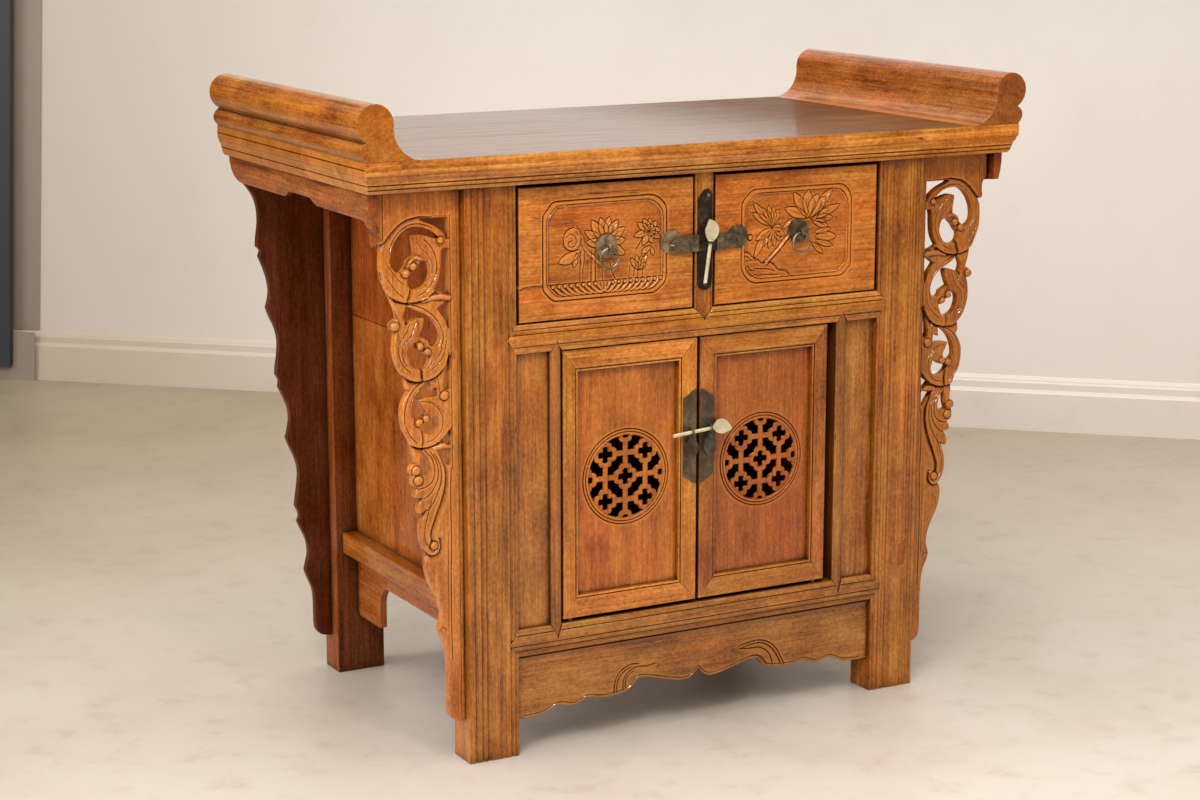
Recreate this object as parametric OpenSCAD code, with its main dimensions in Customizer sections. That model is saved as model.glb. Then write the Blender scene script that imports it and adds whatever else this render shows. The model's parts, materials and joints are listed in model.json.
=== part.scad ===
// Altar cabinet with an everted-flange top, two drawers, two doors and carved spandrels.
// X runs left to right, Y front to back, Z up; the origin is on the floor under the middle.

/* [Carcass] */
// Width over the outsides of the posts
body_w = 740; // [690:1:800]
// Height from the floor to the underside of the top
body_h = 800; // [770:1:840]
// Depth from the front posts' faces to the backs of the back legs
body_d = 512; // [450:1:580]
// Width of a post, seen from the front
post_w = 76; // [70:1:84]
// Thickness of a post, front to back
post_d = 50; // [46:1:58]
// Height of the drawer bay, from the middle rail to the top
drawer_bay = 191; // [180:1:205]
// Height of the middle rail
mid_rail_h = 40; // [34:1:46]
// Height of the bottom rail above the floor
low_rail_z = 143; // [135:1:155]
// Height of the bottom rail
low_rail_h = 38; // [34:1:44]
// Thickness of the front rails behind their faces
rail_t = 40; // [34:1:44]
// How far a rail's pointed end runs over the post
rail_point = 14; // [10:1:18]
// How far the rails' moulded faces stand proud of the posts
rail_proud = 2; // [1:0.5:4]

/* [Top] */
// Thickness of the top boards
top_t = 43; // [36:1:50]
// Overhang of the top's front edge over the posts
top_front = 24; // [18:1:32]
// Overhang of the top's lower edge past each post
top_end = 142; // [130:1:155]
// Radius of the rolled edge of a flange
roll_r = 26; // [22:1:28]
// Radius of the hollow at the foot of a flange
hollow_r = 42; // [36:1:46]
// Height of the roll's centre above the top
roll_z = 49; // [47:1:52]
// Height of an end apron under the overhang
end_apron_h = 38; // [32:1:44]
// Thickness of an end apron
end_apron_t = 14; // [12:1:18]

/* [Sides and back] */
// Inset of the side panels behind the posts' outer faces
side_inset = 34; // [26:1:40]
// Inset of the side rails behind the posts' outer faces
side_rail_inset = 10; // [6:1:14]
// Height of the lower side rails above the floor
side_rail_z = 190; // [180:1:198]
// Height of the side rails
side_rail_h = 32; // [26:1:36]
// Width of a side rail
side_rail_w = 30; // [26:1:34]
// Thickness of the side, back and floor boards
board_t = 12; // [9:1:14]
// Height of a side apron's feet above the floor
side_foot_z = 88; // [80:1:95]
// Thickness of the spandrel boards
spandrel_t = 12; // [10:1:16]
// Recess of the front spandrels behind the posts' faces
spandrel_set = 14; // [10:1:20]

/* [Doors] */
// Width of a door jamb
jamb_w = 17; // [15:1:20]
// Width of a side panel between post and jamb
side_bay_w = 52; // [48:1:56]
// Gap beside the left door's outer edge
left_door_gap = 3; // [2.5:0.5:6]
// Gap between the doors
meeting_gap = 5; // [3:0.5:6]
// Gap beside the right door's outer edge
right_door_gap = 15; // [3:0.5:16]
// Thickness of a door frame
door_t = 20; // [18:1:24]
// Width of a meeting stile
stile_w = 28; // [25:1:31]
// Width of a hinge stile
hinge_stile_w = 24; // [22:1:28]
// Height of a door's top and bottom rails
door_rail_h = 31; // [28:1:34]
// Radius of the lattice roundel's opening
lattice_r = 59; // [50:1:62]
// Pitch of the lattice
lattice_p = 33; // [30:0.5:35]

/* [Drawers] */
// Gap between a drawer front and the post
drawer_post_gap = 5; // [2:0.5:8]
// Gap between a drawer front and the divider
drawer_mid_gap = 3; // [2:0.5:5]
// Gap over a drawer front
drawer_top_gap = 6; // [3:0.5:9]
// Thickness of a drawer front
drawer_front_t = 20; // [16:1:24]
// Thickness of a drawer's sides and back
drawer_side_t = 12; // [9:1:14]
// Width of the divider between the drawers
divider_w = 30; // [26:1:32]

/* [Metal] */
// Radius of the round plates
plate_r = 16.5; // [14:0.5:18]
// Thickness of the sheet metal
sheet_t = 1.4; // [1:0.1:2]
// Radius of a ring pull at the middle of its wire
ring_r = 13.8; // [12:0.2:15]
// Radius of a ring pull's wire
ring_wire = 1.7; // [1.4:0.1:2]
// Radius of the lock pins
pin_r = 2.6; // [2.2:0.1:2.8]

/* [Hidden] */

// Depths count back from the posts' faces, which stand at this Y
lip = 0.6;
front_y = -(body_d + top_front + lip) / 2 + top_front + lip;
side_x = body_w / 2;
bay_x = side_x - post_w;
jamb_in = bay_x - side_bay_w - jamb_w;
leg_d = body_d - post_d;
mid_top = body_h - drawer_bay;
mid_bot = mid_top - mid_rail_h;
low_top = low_rail_z + low_rail_h;
top_z = body_h + top_t;
top_x = side_x + top_end;
face_t = 8;
fit = 0.1;
tenon_l = 20;
tenon_t = 12;
tenon_in = 6;
groove_in = 7;
eps = 0.02;

lacquer = [0.72, 0.43, 0.19];
deep_lacquer = [0.60, 0.33, 0.14];
dark_wood = [0.38, 0.20, 0.10];
old_brass = [0.36, 0.32, 0.25];
bright_brass = [0.88, 0.80, 0.62];

// A box from its limits, with depths counted from the posts' faces
module block(x0, x1, d0, d1, z0, z1) {
  translate([x0, front_y + d0, z0])
    cube([x1 - x0, d1 - d0, z1 - z0]);
}

// An upright outline in X and Z, given thickness from depth d0 to d1
module upright(d0, d1) {
  translate([0, front_y + d1, 0])
    rotate([90, 0, 0])
      linear_extrude(d1 - d0)
        children();
}

// A section in depth and Z, run along X from x0 to x1
module along_x(x0, x1) {
  translate([x0, front_y, 0])
    rotate([90, 0, 90])
      linear_extrude(x1 - x0)
        children();
}

// A section in Y and Z about a depth and height, run along X
module along_y_plane(x, thick) {
  translate([x, front_y, 0])
    rotate([90, 0, 90])
      linear_extrude(thick)
        children();
}

module mirrored(side) {
  if (side < 0)
    mirror([1, 0, 0]) children();
  else
    children();
}

// A smooth closed line through points; a point with a third value is a corner
function pick(p, i) = p[(i + len(p)) % len(p)];
function flat(q) = [q[0], q[1]];
function heading(p, i) = len(pick(p, i)) > 2 ? [0, 0]
  : (flat(pick(p, i + 1)) - flat(pick(p, i - 1))) / 2;
function blend(a, ta, b, tb, t) = (2 * t * t * t - 3 * t * t + 1) * a
  + (t * t * t - 2 * t * t + t) * ta
  + (3 * t * t - 2 * t * t * t) * b
  + (t * t * t - t * t) * tb;
function is_edge(p, i) = len(pick(p, i)) > 2 && len(pick(p, i + 1)) > 2;
function smooth(p, steps = 3) = [
  for (i = [0 : len(p) - 1])
    for (k = [0 : (is_edge(p, i) ? 0 : steps - 1)])
      blend(flat(pick(p, i)), heading(p, i), flat(pick(p, i + 1)), heading(p, i + 1), k / steps)
];

// The top: boards with a moulded front edge and moulded ends, under two scrolled flanges
function edge_steps(reach, out) = [
  [reach, top_z], [reach + lip * out, top_z - 8], [reach, top_z - 18],
  [reach - 2.5 * out, top_z - 19.5], [reach - 2 * out, top_z - 21.5],
  [reach - 4.5 * out, top_z - 25.5], [reach - 6 * out, top_z - 27],
  [reach - 6.5 * out, top_z - 30], [reach - 9.5 * out, body_h + 4], [reach - 12.5 * out, body_h]
];
end_taper = 0.76;
top_lip_x = top_x + 12.5 * end_taper;
front_board_d = 190;
back_board_d = 345;
tongue_t = 8;
tongue_l = 7;

module top_block() {
  intersection() {
    along_x(-top_x - 40, top_x + 40)
      polygon(concat(edge_steps(-top_front, -1), [[body_d, body_h], [body_d, top_z]]));
    upright(-top_front - 10, body_d + 10)
      polygon(concat(
        edge_steps(top_lip_x, end_taper),
        [for (i = [9 : -1 : 0]) [-edge_steps(top_lip_x, end_taper)[i][0], edge_steps(top_lip_x, end_taper)[i][1]]]
      ));
  }
}

module tongue(d, grow) {
  block(-top_x + 30 - grow, top_x - 30 + grow, d - 1 - grow, d + tongue_l + grow,
    body_h + top_t / 2 - tongue_t / 2 - grow, body_h + top_t / 2 + tongue_t / 2 + grow);
}

module top_board(d0, d1, has_tongue, has_groove) {
  color(lacquer)
    difference() {
      union() {
        intersection() {
          top_block();
          block(-top_x - 50, top_x + 50, d0, d1, body_h - 1, top_z + 1);
        }
        if (has_tongue)
          tongue(d1, 0);
      }
      if (has_groove)
        tongue(d0, fit);
    }
}

module top_front_board() {
  top_board(-top_front - 5, front_board_d, true, false);
}

module top_middle_board() {
  top_board(front_board_d, back_board_d, true, true);
}

module top_back_board() {
  top_board(back_board_d, body_d + 5, false, true);
}

batten_w = 34;
batten_h = 11;
batten_x = 180;
batten_d = 44;
module top_battens() {
  color(deep_lacquer)
    for (s = [-1, 1])
      block(s * batten_x - batten_w / 2, s * batten_x + batten_w / 2, batten_d,
        leg_d + 18, body_h - batten_h, body_h);
}

roll_x = top_x - 6;
bead_r = 13;
module flange(side) {
  color(lacquer)
    mirrored(side)
      upright(-top_front - lip, body_d)
        intersection() {
          union() {
            translate([roll_x, top_z + roll_z])
              circle(roll_r, $fn = 72);
            translate([roll_x + roll_r - 5 - bead_r, top_z + bead_r])
              circle(bead_r, $fn = 48);
            difference() {
              polygon([
                [roll_x - roll_r - hollow_r, top_z], [roll_x + 15.5, top_z],
                [roll_x + 15.5, top_z + bead_r * 2 - 4], [roll_x, top_z + roll_z],
                [roll_x - roll_r, top_z + roll_z], [roll_x - roll_r - hollow_r, top_z + roll_z]
              ]);
              translate([roll_x - roll_r - hollow_r, top_z + hollow_r])
                circle(hollow_r, $fn = 96);
            }
          }
          translate([0, top_z])
            square([top_x + 60, 200]);
        }
}

// End aprons hang under the overhanging ends; their feet thin towards the lower edge
apron_out = top_x - 4;
apron_in = apron_out - end_apron_t;
apron_bot = body_h - end_apron_h;
apron_front = 4;
apron_back = body_d - 8;
function end_apron_edge(drop, rise) = concat(
  [[apron_front, body_h + rise, 1]],
  drop ? [[apron_front, body_h - 64, 1], [apron_front + 4, body_h - 71], [apron_front + 9, body_h - 66],
    [apron_front + 12, body_h - 52], [apron_front + 20, body_h - 43]] : [[apron_front, apron_bot + 4, 1]],
  [[apron_front + 34, apron_bot, 1], [apron_front + 186, apron_bot, 1], [apron_front + 198, apron_bot + 6],
    [apron_front + 208, apron_bot + 9], [apron_front + 276, apron_bot + 9], [apron_front + 288, apron_bot + 5],
    [apron_front + 300, apron_bot, 1], [apron_back - 26, apron_bot, 1], [apron_back - 9, apron_bot + 7],
    [apron_back - 2, apron_bot + 22], [apron_back, body_h + rise, 1]]
);
// The right one stands further out and reaches lower
right_apron_shift = 6;
right_apron_drop = 7;
module end_apron(side) {
  shift = side < 0 ? 0 : right_apron_shift;
  drop = side < 0 ? 0 : right_apron_drop;
  color(lacquer)
    mirrored(side)
      translate([shift, 0, -drop])
        intersection() {
          along_x(apron_in, apron_out)
            polygon(smooth(end_apron_edge(side < 0, drop)));
          upright(-5, body_d + 5)
            polygon([[apron_in, body_h + drop], [apron_out, body_h + drop], [apron_out, body_h - 8],
              [apron_out - 2, body_h - 22], [apron_out - 6, apron_bot], [apron_out - 7, body_h - 75],
              [apron_in, body_h - 75]]);
        }
}

// Posts: reeded fronts, mitred notches and mortises for the rails, grooves for the panels.
// A groove is its place from the post's outer edge, its width and its depth.
reeds_left = [[11, 4, 1.3], [21, 4, 1.5], [30, 6, 1.8], [65.5, 4.5, 1.6], [71.5, 3, 1]];
reeds_right = [[5, 3, 1], [10.5, 4, 1.4], [16, 3, 1.1], [21, 4, 1.4], [50, 6, 1.8], [57, 3, 1],
  [62.5, 4, 1.4], [70.5, 3.5, 1.2]];
module reeds(list) {
  for (g = list)
    translate([side_x - g[0], -(g[1] * g[1] / 4 - g[2] * g[2]) / (2 * g[2])])
      circle((g[1] * g[1] / 4 + g[2] * g[2]) / (2 * g[2]), $fn = 40);
}

module rail_outline(z0, z1, grow) {
  tip = bay_x + rail_point;
  polygon([[-bay_x - grow, z0], [bay_x + grow, z0], [tip, (z0 + z1) / 2], [bay_x + grow, z1],
    [-bay_x - grow, z1], [-tip, (z0 + z1) / 2]]);
}

module rail_tenons(z0, z1, grow) {
  for (s = [-1, 1])
    block(s > 0 ? bay_x - 1 : -bay_x - tenon_l - grow, s > 0 ? bay_x + tenon_l + grow : -bay_x + 1,
      face_t + 8 - grow, face_t + 8 + tenon_t + grow, z0 + tenon_in - grow, z1 - tenon_in + grow);
}

module side_tenon(grow, reach) {
  block(side_x - 30 - grow, side_x - 18 + grow, reach, post_d + 1, side_rail_z - grow,
    side_rail_z + side_rail_h + grow);
}

panel_x = side_x - side_inset;
module panel_groove(grow, d0, d1) {
  block(panel_x - board_t - grow, panel_x + grow, d0, d1, side_rail_z + side_rail_h - 1, body_h);
}

module front_post(side) {
  color(lacquer)
    difference() {
      mirrored(side)
        translate([0, front_y, 0])
          linear_extrude(body_h)
            difference() {
              translate([bay_x, 0])
                square([post_w, post_d]);
              reeds(side < 0 ? reeds_left : reeds_right);
            }
      for (z = [[mid_bot, mid_top], [low_rail_z, low_top]]) {
        upright(-1, face_t)
          rail_outline(z[0], z[1], 0);
        rail_tenons(z[0], z[1], fit);
      }
      mirrored(side) {
        side_tenon(fit, side < 0 ? post_d - tenon_l - fit : -1);
        panel_groove(fit, post_d - groove_in - fit, post_d + 1);
      }
    }
}

back_d = leg_d + 22;
module back_leg(side) {
  color(deep_lacquer)
    difference() {
      mirrored(side)
        block(bay_x, side_x, leg_d, body_d, 0, body_h);
      mirrored(side) {
        block(side_x - 30 - fit, side_x - 18 + fit, leg_d - 1, leg_d + tenon_l + fit,
          side_rail_z - fit, side_rail_z + side_rail_h + fit);
        panel_groove(fit, leg_d - 1, leg_d + groove_in + fit);
        block(bay_x - 1, bay_x + groove_in + fit, back_d - fit, back_d + board_t + fit,
          low_rail_z, body_h);
      }
    }
}

// Front rails: a moulded face with mitred points, a square body and stub tenons
function rail_section(z0, z1) = [
  [face_t, z0], [0.5, z0], [-0.5, z0 + 2], [-0.5, z0 + 4], [0.7, z0 + 5], [-0.6, z0 + 6.5],
  [-rail_proud, z0 + 12], [-rail_proud - 0.6, (z0 + z1) / 2], [-rail_proud, z1 - 10],
  [-0.6, z1 - 4], [1, z1 - 1.5], [2.5, z1], [face_t, z1]
];
divider_point = 18;
jamb_point_up = 14;
jamb_point_down = 19;
jamb_mid = jamb_in + jamb_w / 2;

module divider_outline() {
  polygon([[-divider_w / 2, body_h], [-divider_w / 2, mid_top], [0, mid_top - divider_point],
    [divider_w / 2, mid_top], [divider_w / 2, body_h]]);
}

module jamb_outline() {
  for (s = [-1, 1])
    translate([s * jamb_mid, 0])
      polygon([[-jamb_w / 2, low_top], [0, low_top - jamb_point_down], [jamb_w / 2, low_top],
        [jamb_w / 2, mid_bot], [0, mid_bot + jamb_point_up], [-jamb_w / 2, mid_bot]]);
}

module front_rail(z0, z1) {
  intersection() {
    along_x(-bay_x - 30, bay_x + 30)
      polygon(rail_section(z0, z1));
    upright(-10, face_t)
      rail_outline(z0, z1, 0);
  }
  block(-bay_x, bay_x, face_t - eps, rail_t, z0, z1);
  rail_tenons(z0, z1, 0);
}

// The doors turn on wooden pegs at their outer stiles
door_face = 4;
door_top = mid_bot - 2;
door_low = low_top + 5;
left_door_x = -jamb_in + left_door_gap;
right_door_x = jamb_in - right_door_gap;
door_w = (right_door_x - left_door_x - meeting_gap) / 2;
hinge_in = 14;
hinge_d = door_face + 8;
peg_r = 4;
peg_gap = 0.08;
peg_l = 10;
module hinge_holes(z, up) {
  for (x = [left_door_x + hinge_in, right_door_x - hinge_in])
    translate([x, front_y + hinge_d, up > 0 ? z - 1 : z - peg_l - 0.5])
      cylinder(h = peg_l + 1.5, r = peg_r + peg_gap, $fn = 48);
}

module mid_rail() {
  color(lacquer)
    difference() {
      front_rail(mid_bot, mid_top);
      upright(-10, face_t + eps) {
        divider_outline();
        jamb_outline();
      }
      hinge_holes(mid_bot, 1);
      block(-divider_w / 2 + 8 - fit, divider_w / 2 - 8 + fit, face_t + 6 - fit, face_t + 16 + fit,
        mid_top - 12 - fit, mid_top + 1);
    }
}

module bottom_rail() {
  color(lacquer)
    difference() {
      front_rail(low_rail_z, low_top);
      upright(-10, face_t + eps)
        jamb_outline();
      hinge_holes(low_top, -1);
      block(-bay_x - 1, bay_x + 1, rail_t - groove_in - fit, rail_t + 1, floor_z - fit,
        floor_z + board_t + fit);
    }
}

divider_face = 1;
module drawer_divider() {
  color(lacquer) {
    intersection() {
      upright(divider_face, face_t)
        divider_outline();
      translate([0, front_y, mid_top - 30])
        linear_extrude(drawer_bay + 30)
          polygon([[-divider_w / 2, face_t], [-divider_w / 2, divider_face + 2],
            [-divider_w / 2 + 2, divider_face], [divider_w / 2 - 2, divider_face],
            [divider_w / 2, divider_face + 2], [divider_w / 2, face_t]]);
    }
    block(-divider_w / 2, divider_w / 2, face_t - eps, 31, mid_top, body_h);
    block(-divider_w / 2 + 8, divider_w / 2 - 8, face_t + 6, face_t + 16, mid_top - 12, mid_top + 1);
  }
}

jamb_back = 26;
module door_jambs() {
  color(lacquer) {
    intersection() {
      upright(-1, face_t)
        jamb_outline();
      for (s = [-1, 1])
        translate([s * jamb_mid, front_y, low_top - 30])
          linear_extrude(mid_bot - low_top + 60)
            polygon([[-jamb_w / 2, face_t], [-jamb_w / 2, 4.5], [-jamb_w / 2 + 2.2, 1.8],
              [-jamb_w / 2 + 5.5, 0.2], [0, -0.3], [jamb_w / 2 - 5.5, 0.2], [jamb_w / 2 - 2.2, 1.8],
              [jamb_w / 2, 4.5], [jamb_w / 2, face_t]]);
    }
    for (s = [-1, 1])
      block(s * jamb_mid - jamb_w / 2, s * jamb_mid + jamb_w / 2, face_t - eps, jamb_back,
        low_top, mid_bot);
  }
}

front_panel_d = 10;
module front_side_panels() {
  color(deep_lacquer)
    for (s = [-1, 1])
      mirrored(s)
        block(jamb_in + jamb_w, bay_x, front_panel_d, front_panel_d + 8, low_top, mid_bot);
}

// The front apron's lower edge, from the middle notch outwards
front_apron_d = 8;
function apron_half() = [
  [0, 80, 1], [4, 75.5], [10, 69.5], [18, 66], [28, 65.5], [42, 68], [60, 72.5], [80, 78],
  [92, 80], [100, 79], [106, 73.5], [112, 67], [122, 62.5, 1], [135, 61], [150, 59.5, 1],
  [162, 60.5], [172, 62.5], [182, 63.5], [192, 60], [202, 56.5, 1], [212, 57.5], [225, 61],
  [235, 58.5], [245, 54], [258, 50.5], [275, 49.5], [bay_x, 50, 1]
];
module front_apron() {
  half = apron_half();
  color(lacquer)
    upright(front_apron_d, front_apron_d + board_t)
      polygon(smooth(concat(
        [for (i = [len(half) - 1 : -1 : 1]) concat([-half[i][0], half[i][1]], len(half[i]) > 2 ? [1] : [])],
        half,
        [[bay_x, low_rail_z, 1], [-bay_x, low_rail_z, 1]]
      )));
}

// Front spandrels: places count out from the post's side and down from the top
reach = apron_in - side_x;
spandrel_foot_z = 61;
spandrel_drawn_h = 739;
function drawn_to(foot_z) = [1, (body_h - foot_z) / spandrel_drawn_h];
function spandrel_edge() = [
  [0, 0, 1], [reach, 0, 1], [reach, 38, 1], [120, 43], [118, 50], [118, 58], [119, 65],
  [117, 69, 1], [112, 70, 1], [114, 78], [115, 90], [114.5, 105], [112, 117], [107, 129],
  [102, 140], [97, 152], [93.5, 162], [92, 170, 1], [96, 172], [101, 176], [102, 181],
  [99, 186], [94, 187, 1], [96, 194], [97.5, 204], [97.5, 215], [95, 227], [90, 239],
  [84, 248], [81, 250, 1], [81.5, 255], [81, 262], [79, 267], [77, 269, 1], [82, 277],
  [87, 288], [88, 300], [87, 312], [84, 323], [79, 332], [75, 340], [72, 350], [70, 360],
  [69, 369, 1], [73, 370], [77, 375], [77, 381], [73, 384, 1], [74, 389], [74, 396],
  [70, 401], [66, 402, 1], [70, 410], [70, 415, 1], [66, 417], [60, 417, 1], [65, 426],
  [66, 434, 1], [64, 439], [58, 437], [55, 434, 1], [59, 445], [62, 455], [63, 465],
  [62.5, 475], [60, 484], [56, 492], [52, 495, 1], [55.5, 501], [56, 510], [55, 521],
  [52, 532], [47, 544], [41, 555], [37, 564], [34.5, 573], [33, 582], [34, 592],
  [37.5, 602, 1], [36, 610], [32, 619], [28, 629], [26, 640], [25, 650], [24, 670, 1],
  [24, 722, 1], [22, 730], [17, 736], [8, 739], [0, 739, 1]
];
stile_in = 16.5;
spandrel_holes = [
  [[stile_in, 39, 1], [58, 39, 1], [50, 44], [40, 48], [30, 54], [23, 61], [19, 69, 1], [stile_in, 69, 1]],
  [[30.5, 67, 1], [38.5, 59], [49.5, 53], [62.5, 50], [74.5, 51], [85.5, 58], [94.5, 69],
    [99.5, 82], [100.5, 94], [97.5, 103], [90.5, 108], [84.5, 109, 1], [80.5, 104], [76.5, 100, 1],
    [75.5, 95], [71.5, 91], [65.5, 88, 1], [65.5, 78], [67.5, 68], [67.5, 62, 1], [59.5, 60],
    [48.5, 62], [39.5, 65]],
  [[stile_in, 81, 1], [25, 81, 1], [27, 88], [27.5, 100], [28.5, 112], [32, 124], [38, 134, 1],
    [28, 139], [20, 141], [stile_in, 142, 1]],
  [[43, 107], [45, 100], [50, 96], [57, 96, 1], [62, 101], [67, 106, 1], [71, 112], [76, 118, 1],
    [75.5, 126], [71, 132], [62, 133], [52, 130], [45.5, 122], [42.5, 114]],
  [[stile_in, 152, 1], [24, 154], [34, 161, 1], [28, 169], [22, 178], [18, 188], [stile_in, 188, 1]],
  [[72, 157, 1], [59.5, 164], [46.5, 171], [36.5, 180], [30.5, 191], [29, 200], [31.5, 208],
    [36.5, 212, 1], [44.5, 210], [47.5, 203, 1], [54.5, 199], [60.5, 196, 1], [56.5, 186],
    [53.5, 176], [54.5, 171, 1], [62.5, 171], [71.5, 174], [80, 178, 1], [83, 166], [79, 156, 1]],
  [[64, 205], [72, 207], [77, 213], [77, 223], [73, 233], [66, 239], [57, 241], [50.5, 240, 1],
    [47, 232], [44, 224, 1], [50, 223], [55, 218, 1], [60, 215], [65, 212]],
  [[stile_in + 0.5, 222, 1], [20, 232], [22, 240], [24.5, 250], [25, 262], [24, 271, 1], [19, 272],
    [stile_in + 0.5, 266]],
  [[46, 259, 1], [54, 262], [62, 269], [69, 279], [73, 291], [73.5, 302], [67, 308], [61, 307, 1],
    [54.5, 300], [59, 291], [63.5, 282, 1], [54, 280], [40, 279.5], [36, 279, 1], [36, 269, 1],
    [39, 268], [45, 271, 1]],
  [[38, 307], [35, 313], [34, 320], [37, 327], [44, 330.5], [52, 329], [59, 324], [63, 317, 1],
    [56, 315], [48, 313], [44, 309, 1]],
  [[stile_in + 0.5, 329, 1], [27, 337], [31, 339, 1], [24, 346], [stile_in + 0.5, 349]],
  [[stile_in + 0.5, 352, 1], [28, 354], [37, 354, 1], [31, 362], [25, 372], [20, 376, 1],
    [stile_in + 0.5, 370]],
  [[55.5, 357], [52, 360], [48.5, 370], [48, 378], [52, 385], [58, 385], [64, 382, 1], [61, 374],
    [60, 364], [59, 354, 1]]
];
module front_spandrel(side) {
  color(lacquer)
    mirrored(side)
      upright(spandrel_set, spandrel_set + spandrel_t)
        translate([side_x, body_h])
          mirror([0, 1])
            scale(drawn_to(spandrel_foot_z))
              difference() {
                polygon(smooth(spandrel_edge()));
                for (hole = spandrel_holes)
                  polygon(smooth(hole));
              }
}

// Back spandrels: plain boards whose edge repeats a lobe, a double cusp, a lobe and a point
function back_edge() = [
  [0, 0, 1], [reach, 0, 1], [reach, 38, 1], [116, 48], [107, 62], [102, 80], [101, 100],
  [104, 122], [105, 136, 1], [99, 142], [102, 150, 1], [97, 162], [90, 182], [87, 200],
  [88, 214], [92, 228, 1], [88, 240], [79, 260], [75, 280], [76, 300], [79, 318], [80, 331, 1],
  [75, 339], [76, 350, 1], [70, 362], [62, 382], [60, 400], [63, 418], [66, 428, 1], [62, 440],
  [53, 460], [48, 480], [49, 500], [52, 520], [54, 536, 1], [48, 550], [51, 560, 1], [47, 570],
  [38, 590], [35, 610], [38, 625], [41, 638, 1], [37, 650], [29, 670], [27, 690, 1],
  [27, 722, 1], [25, 734], [18, 742], [8, 745], [0, 745, 1]
];
module back_spandrels() {
  color(dark_wood)
    for (s = [-1, 1])
      mirrored(s)
        upright(leg_d + 24, leg_d + 24 + spandrel_t)
          translate([side_x, body_h])
            mirror([0, 1])
              scale(drawn_to(spandrel_foot_z))
                polygon(smooth(back_edge()));
}

// Sides: a panel between rails, and a footed apron below
side_top_z = body_h - 28;
module side_panel(side) {
  color(deep_lacquer)
    mirrored(side)
      block(panel_x - board_t, panel_x, post_d - groove_in, leg_d + groove_in,
        side_rail_z + side_rail_h, side_top_z);
}

rail_out = side_x - side_rail_inset;
module side_rail(side) {
  color(lacquer)
    mirrored(side)
      union() {
        block(rail_out - side_rail_w, rail_out, post_d, leg_d, side_rail_z, side_rail_z + side_rail_h);
        block(side_x - 30, side_x - 18, side < 0 ? post_d - tenon_l : 0, post_d + 1, side_rail_z,
          side_rail_z + side_rail_h);
        block(side_x - 30, side_x - 18, leg_d - 1, leg_d + tenon_l, side_rail_z,
          side_rail_z + side_rail_h);
      }
}

module side_top_rails() {
  color(deep_lacquer)
    for (s = [-1, 1])
      mirrored(s)
        block(rail_out - side_rail_w, rail_out, post_d, leg_d, side_top_z, body_h);
}

arch_z = side_rail_z - 35;
foot_l = 82;
foot_r = 32;
module side_apron(side) {
  color(lacquer)
    mirrored(side)
      along_x(panel_x - board_t, panel_x)
        difference() {
          translate([post_d, side_foot_z])
            square([leg_d - post_d, side_rail_z - side_foot_z]);
          difference() {
            translate([post_d + foot_l, side_foot_z - 1])
              square([leg_d - post_d - 2 * foot_l, arch_z - side_foot_z + 1]);
            for (d = [post_d + foot_l, leg_d - foot_l - foot_r])
              difference() {
                translate([d, arch_z - foot_r])
                  square([foot_r, foot_r + 1]);
                translate([d > body_d / 2 ? d : d + foot_r, arch_z - foot_r])
                  circle(foot_r, $fn = 64);
              }
          }
          for (d = [post_d, leg_d])
            translate([d, side_foot_z])
              rotate(45)
                square(8, center = true);
        }
}

// Back frame and boards, floor, and what the drawers run on
back_top_h = 35;
back_mid_h = 26;
runner_z = mid_top + 1.7;
floor_z = low_rail_z + 17;
module back_rails() {
  color(dark_wood)
    for (z = [[body_h - back_top_h, body_h], [runner_z - back_mid_h, runner_z], [low_rail_z, low_top]])
      block(-bay_x, bay_x, back_d, back_d + 22, z[0], z[1]);
}

module back_panels() {
  color(dark_wood) {
    block(-bay_x - groove_in, bay_x + groove_in, back_d, back_d + board_t, runner_z + fit,
      body_h - back_top_h - fit);
    block(-bay_x - groove_in, bay_x + groove_in, back_d, back_d + board_t, low_top + fit,
      runner_z - back_mid_h - fit);
  }
}

module floor_board() {
  color(dark_wood) {
    block(-bay_x + 0.5, bay_x - 0.5, rail_t - groove_in, back_d, floor_z, floor_z + board_t);
    for (s = [-1, 1])
      mirrored(s)
        block(bay_x - 1, panel_x - board_t - 0.5, post_d + 0.5, leg_d - 0.5, floor_z, floor_z + board_t);
  }
}

drawer_out = divider_w / 2 + drawer_mid_gap;
drawer_w = bay_x - drawer_post_gap - drawer_out;
runner_h = 18;
module drawer_runners() {
  color(dark_wood) {
    for (s = [-1, 1])
      mirrored(s)
        block(drawer_out + drawer_w - 18, bay_x + 16, post_d, leg_d, runner_z - runner_h, runner_z);
    block(-drawer_out - 14, drawer_out + 14, rail_t, back_d, runner_z - runner_h, runner_z);
  }
}

guide_h = 30;
module drawer_guides() {
  color(dark_wood) {
    for (s = [-1, 1])
      mirrored(s)
        block(drawer_out + drawer_w + 1, bay_x + 16, post_d, leg_d, runner_z, runner_z + guide_h);
    block(-drawer_out + 4, drawer_out - 4, rail_t, back_d, runner_z, runner_z + guide_h);
  }
}

// Drawers: a carved front on a plain box
drawer_face = 2;
drawer_low = mid_top + 2;
drawer_h = body_h - drawer_top_gap - drawer_low;
box_in = 2;
box_d0 = drawer_face + drawer_front_t;
box_d1 = leg_d + 8;
box_h = drawer_h - 19;
base_z = drawer_low + 6;
base_t = 8;
base_in = 6;
module drawer_front(side) {
  color(lacquer)
    mirrored(side)
      block(drawer_out, drawer_out + drawer_w, drawer_face, box_d0, drawer_low, drawer_low + drawer_h);
}

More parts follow.
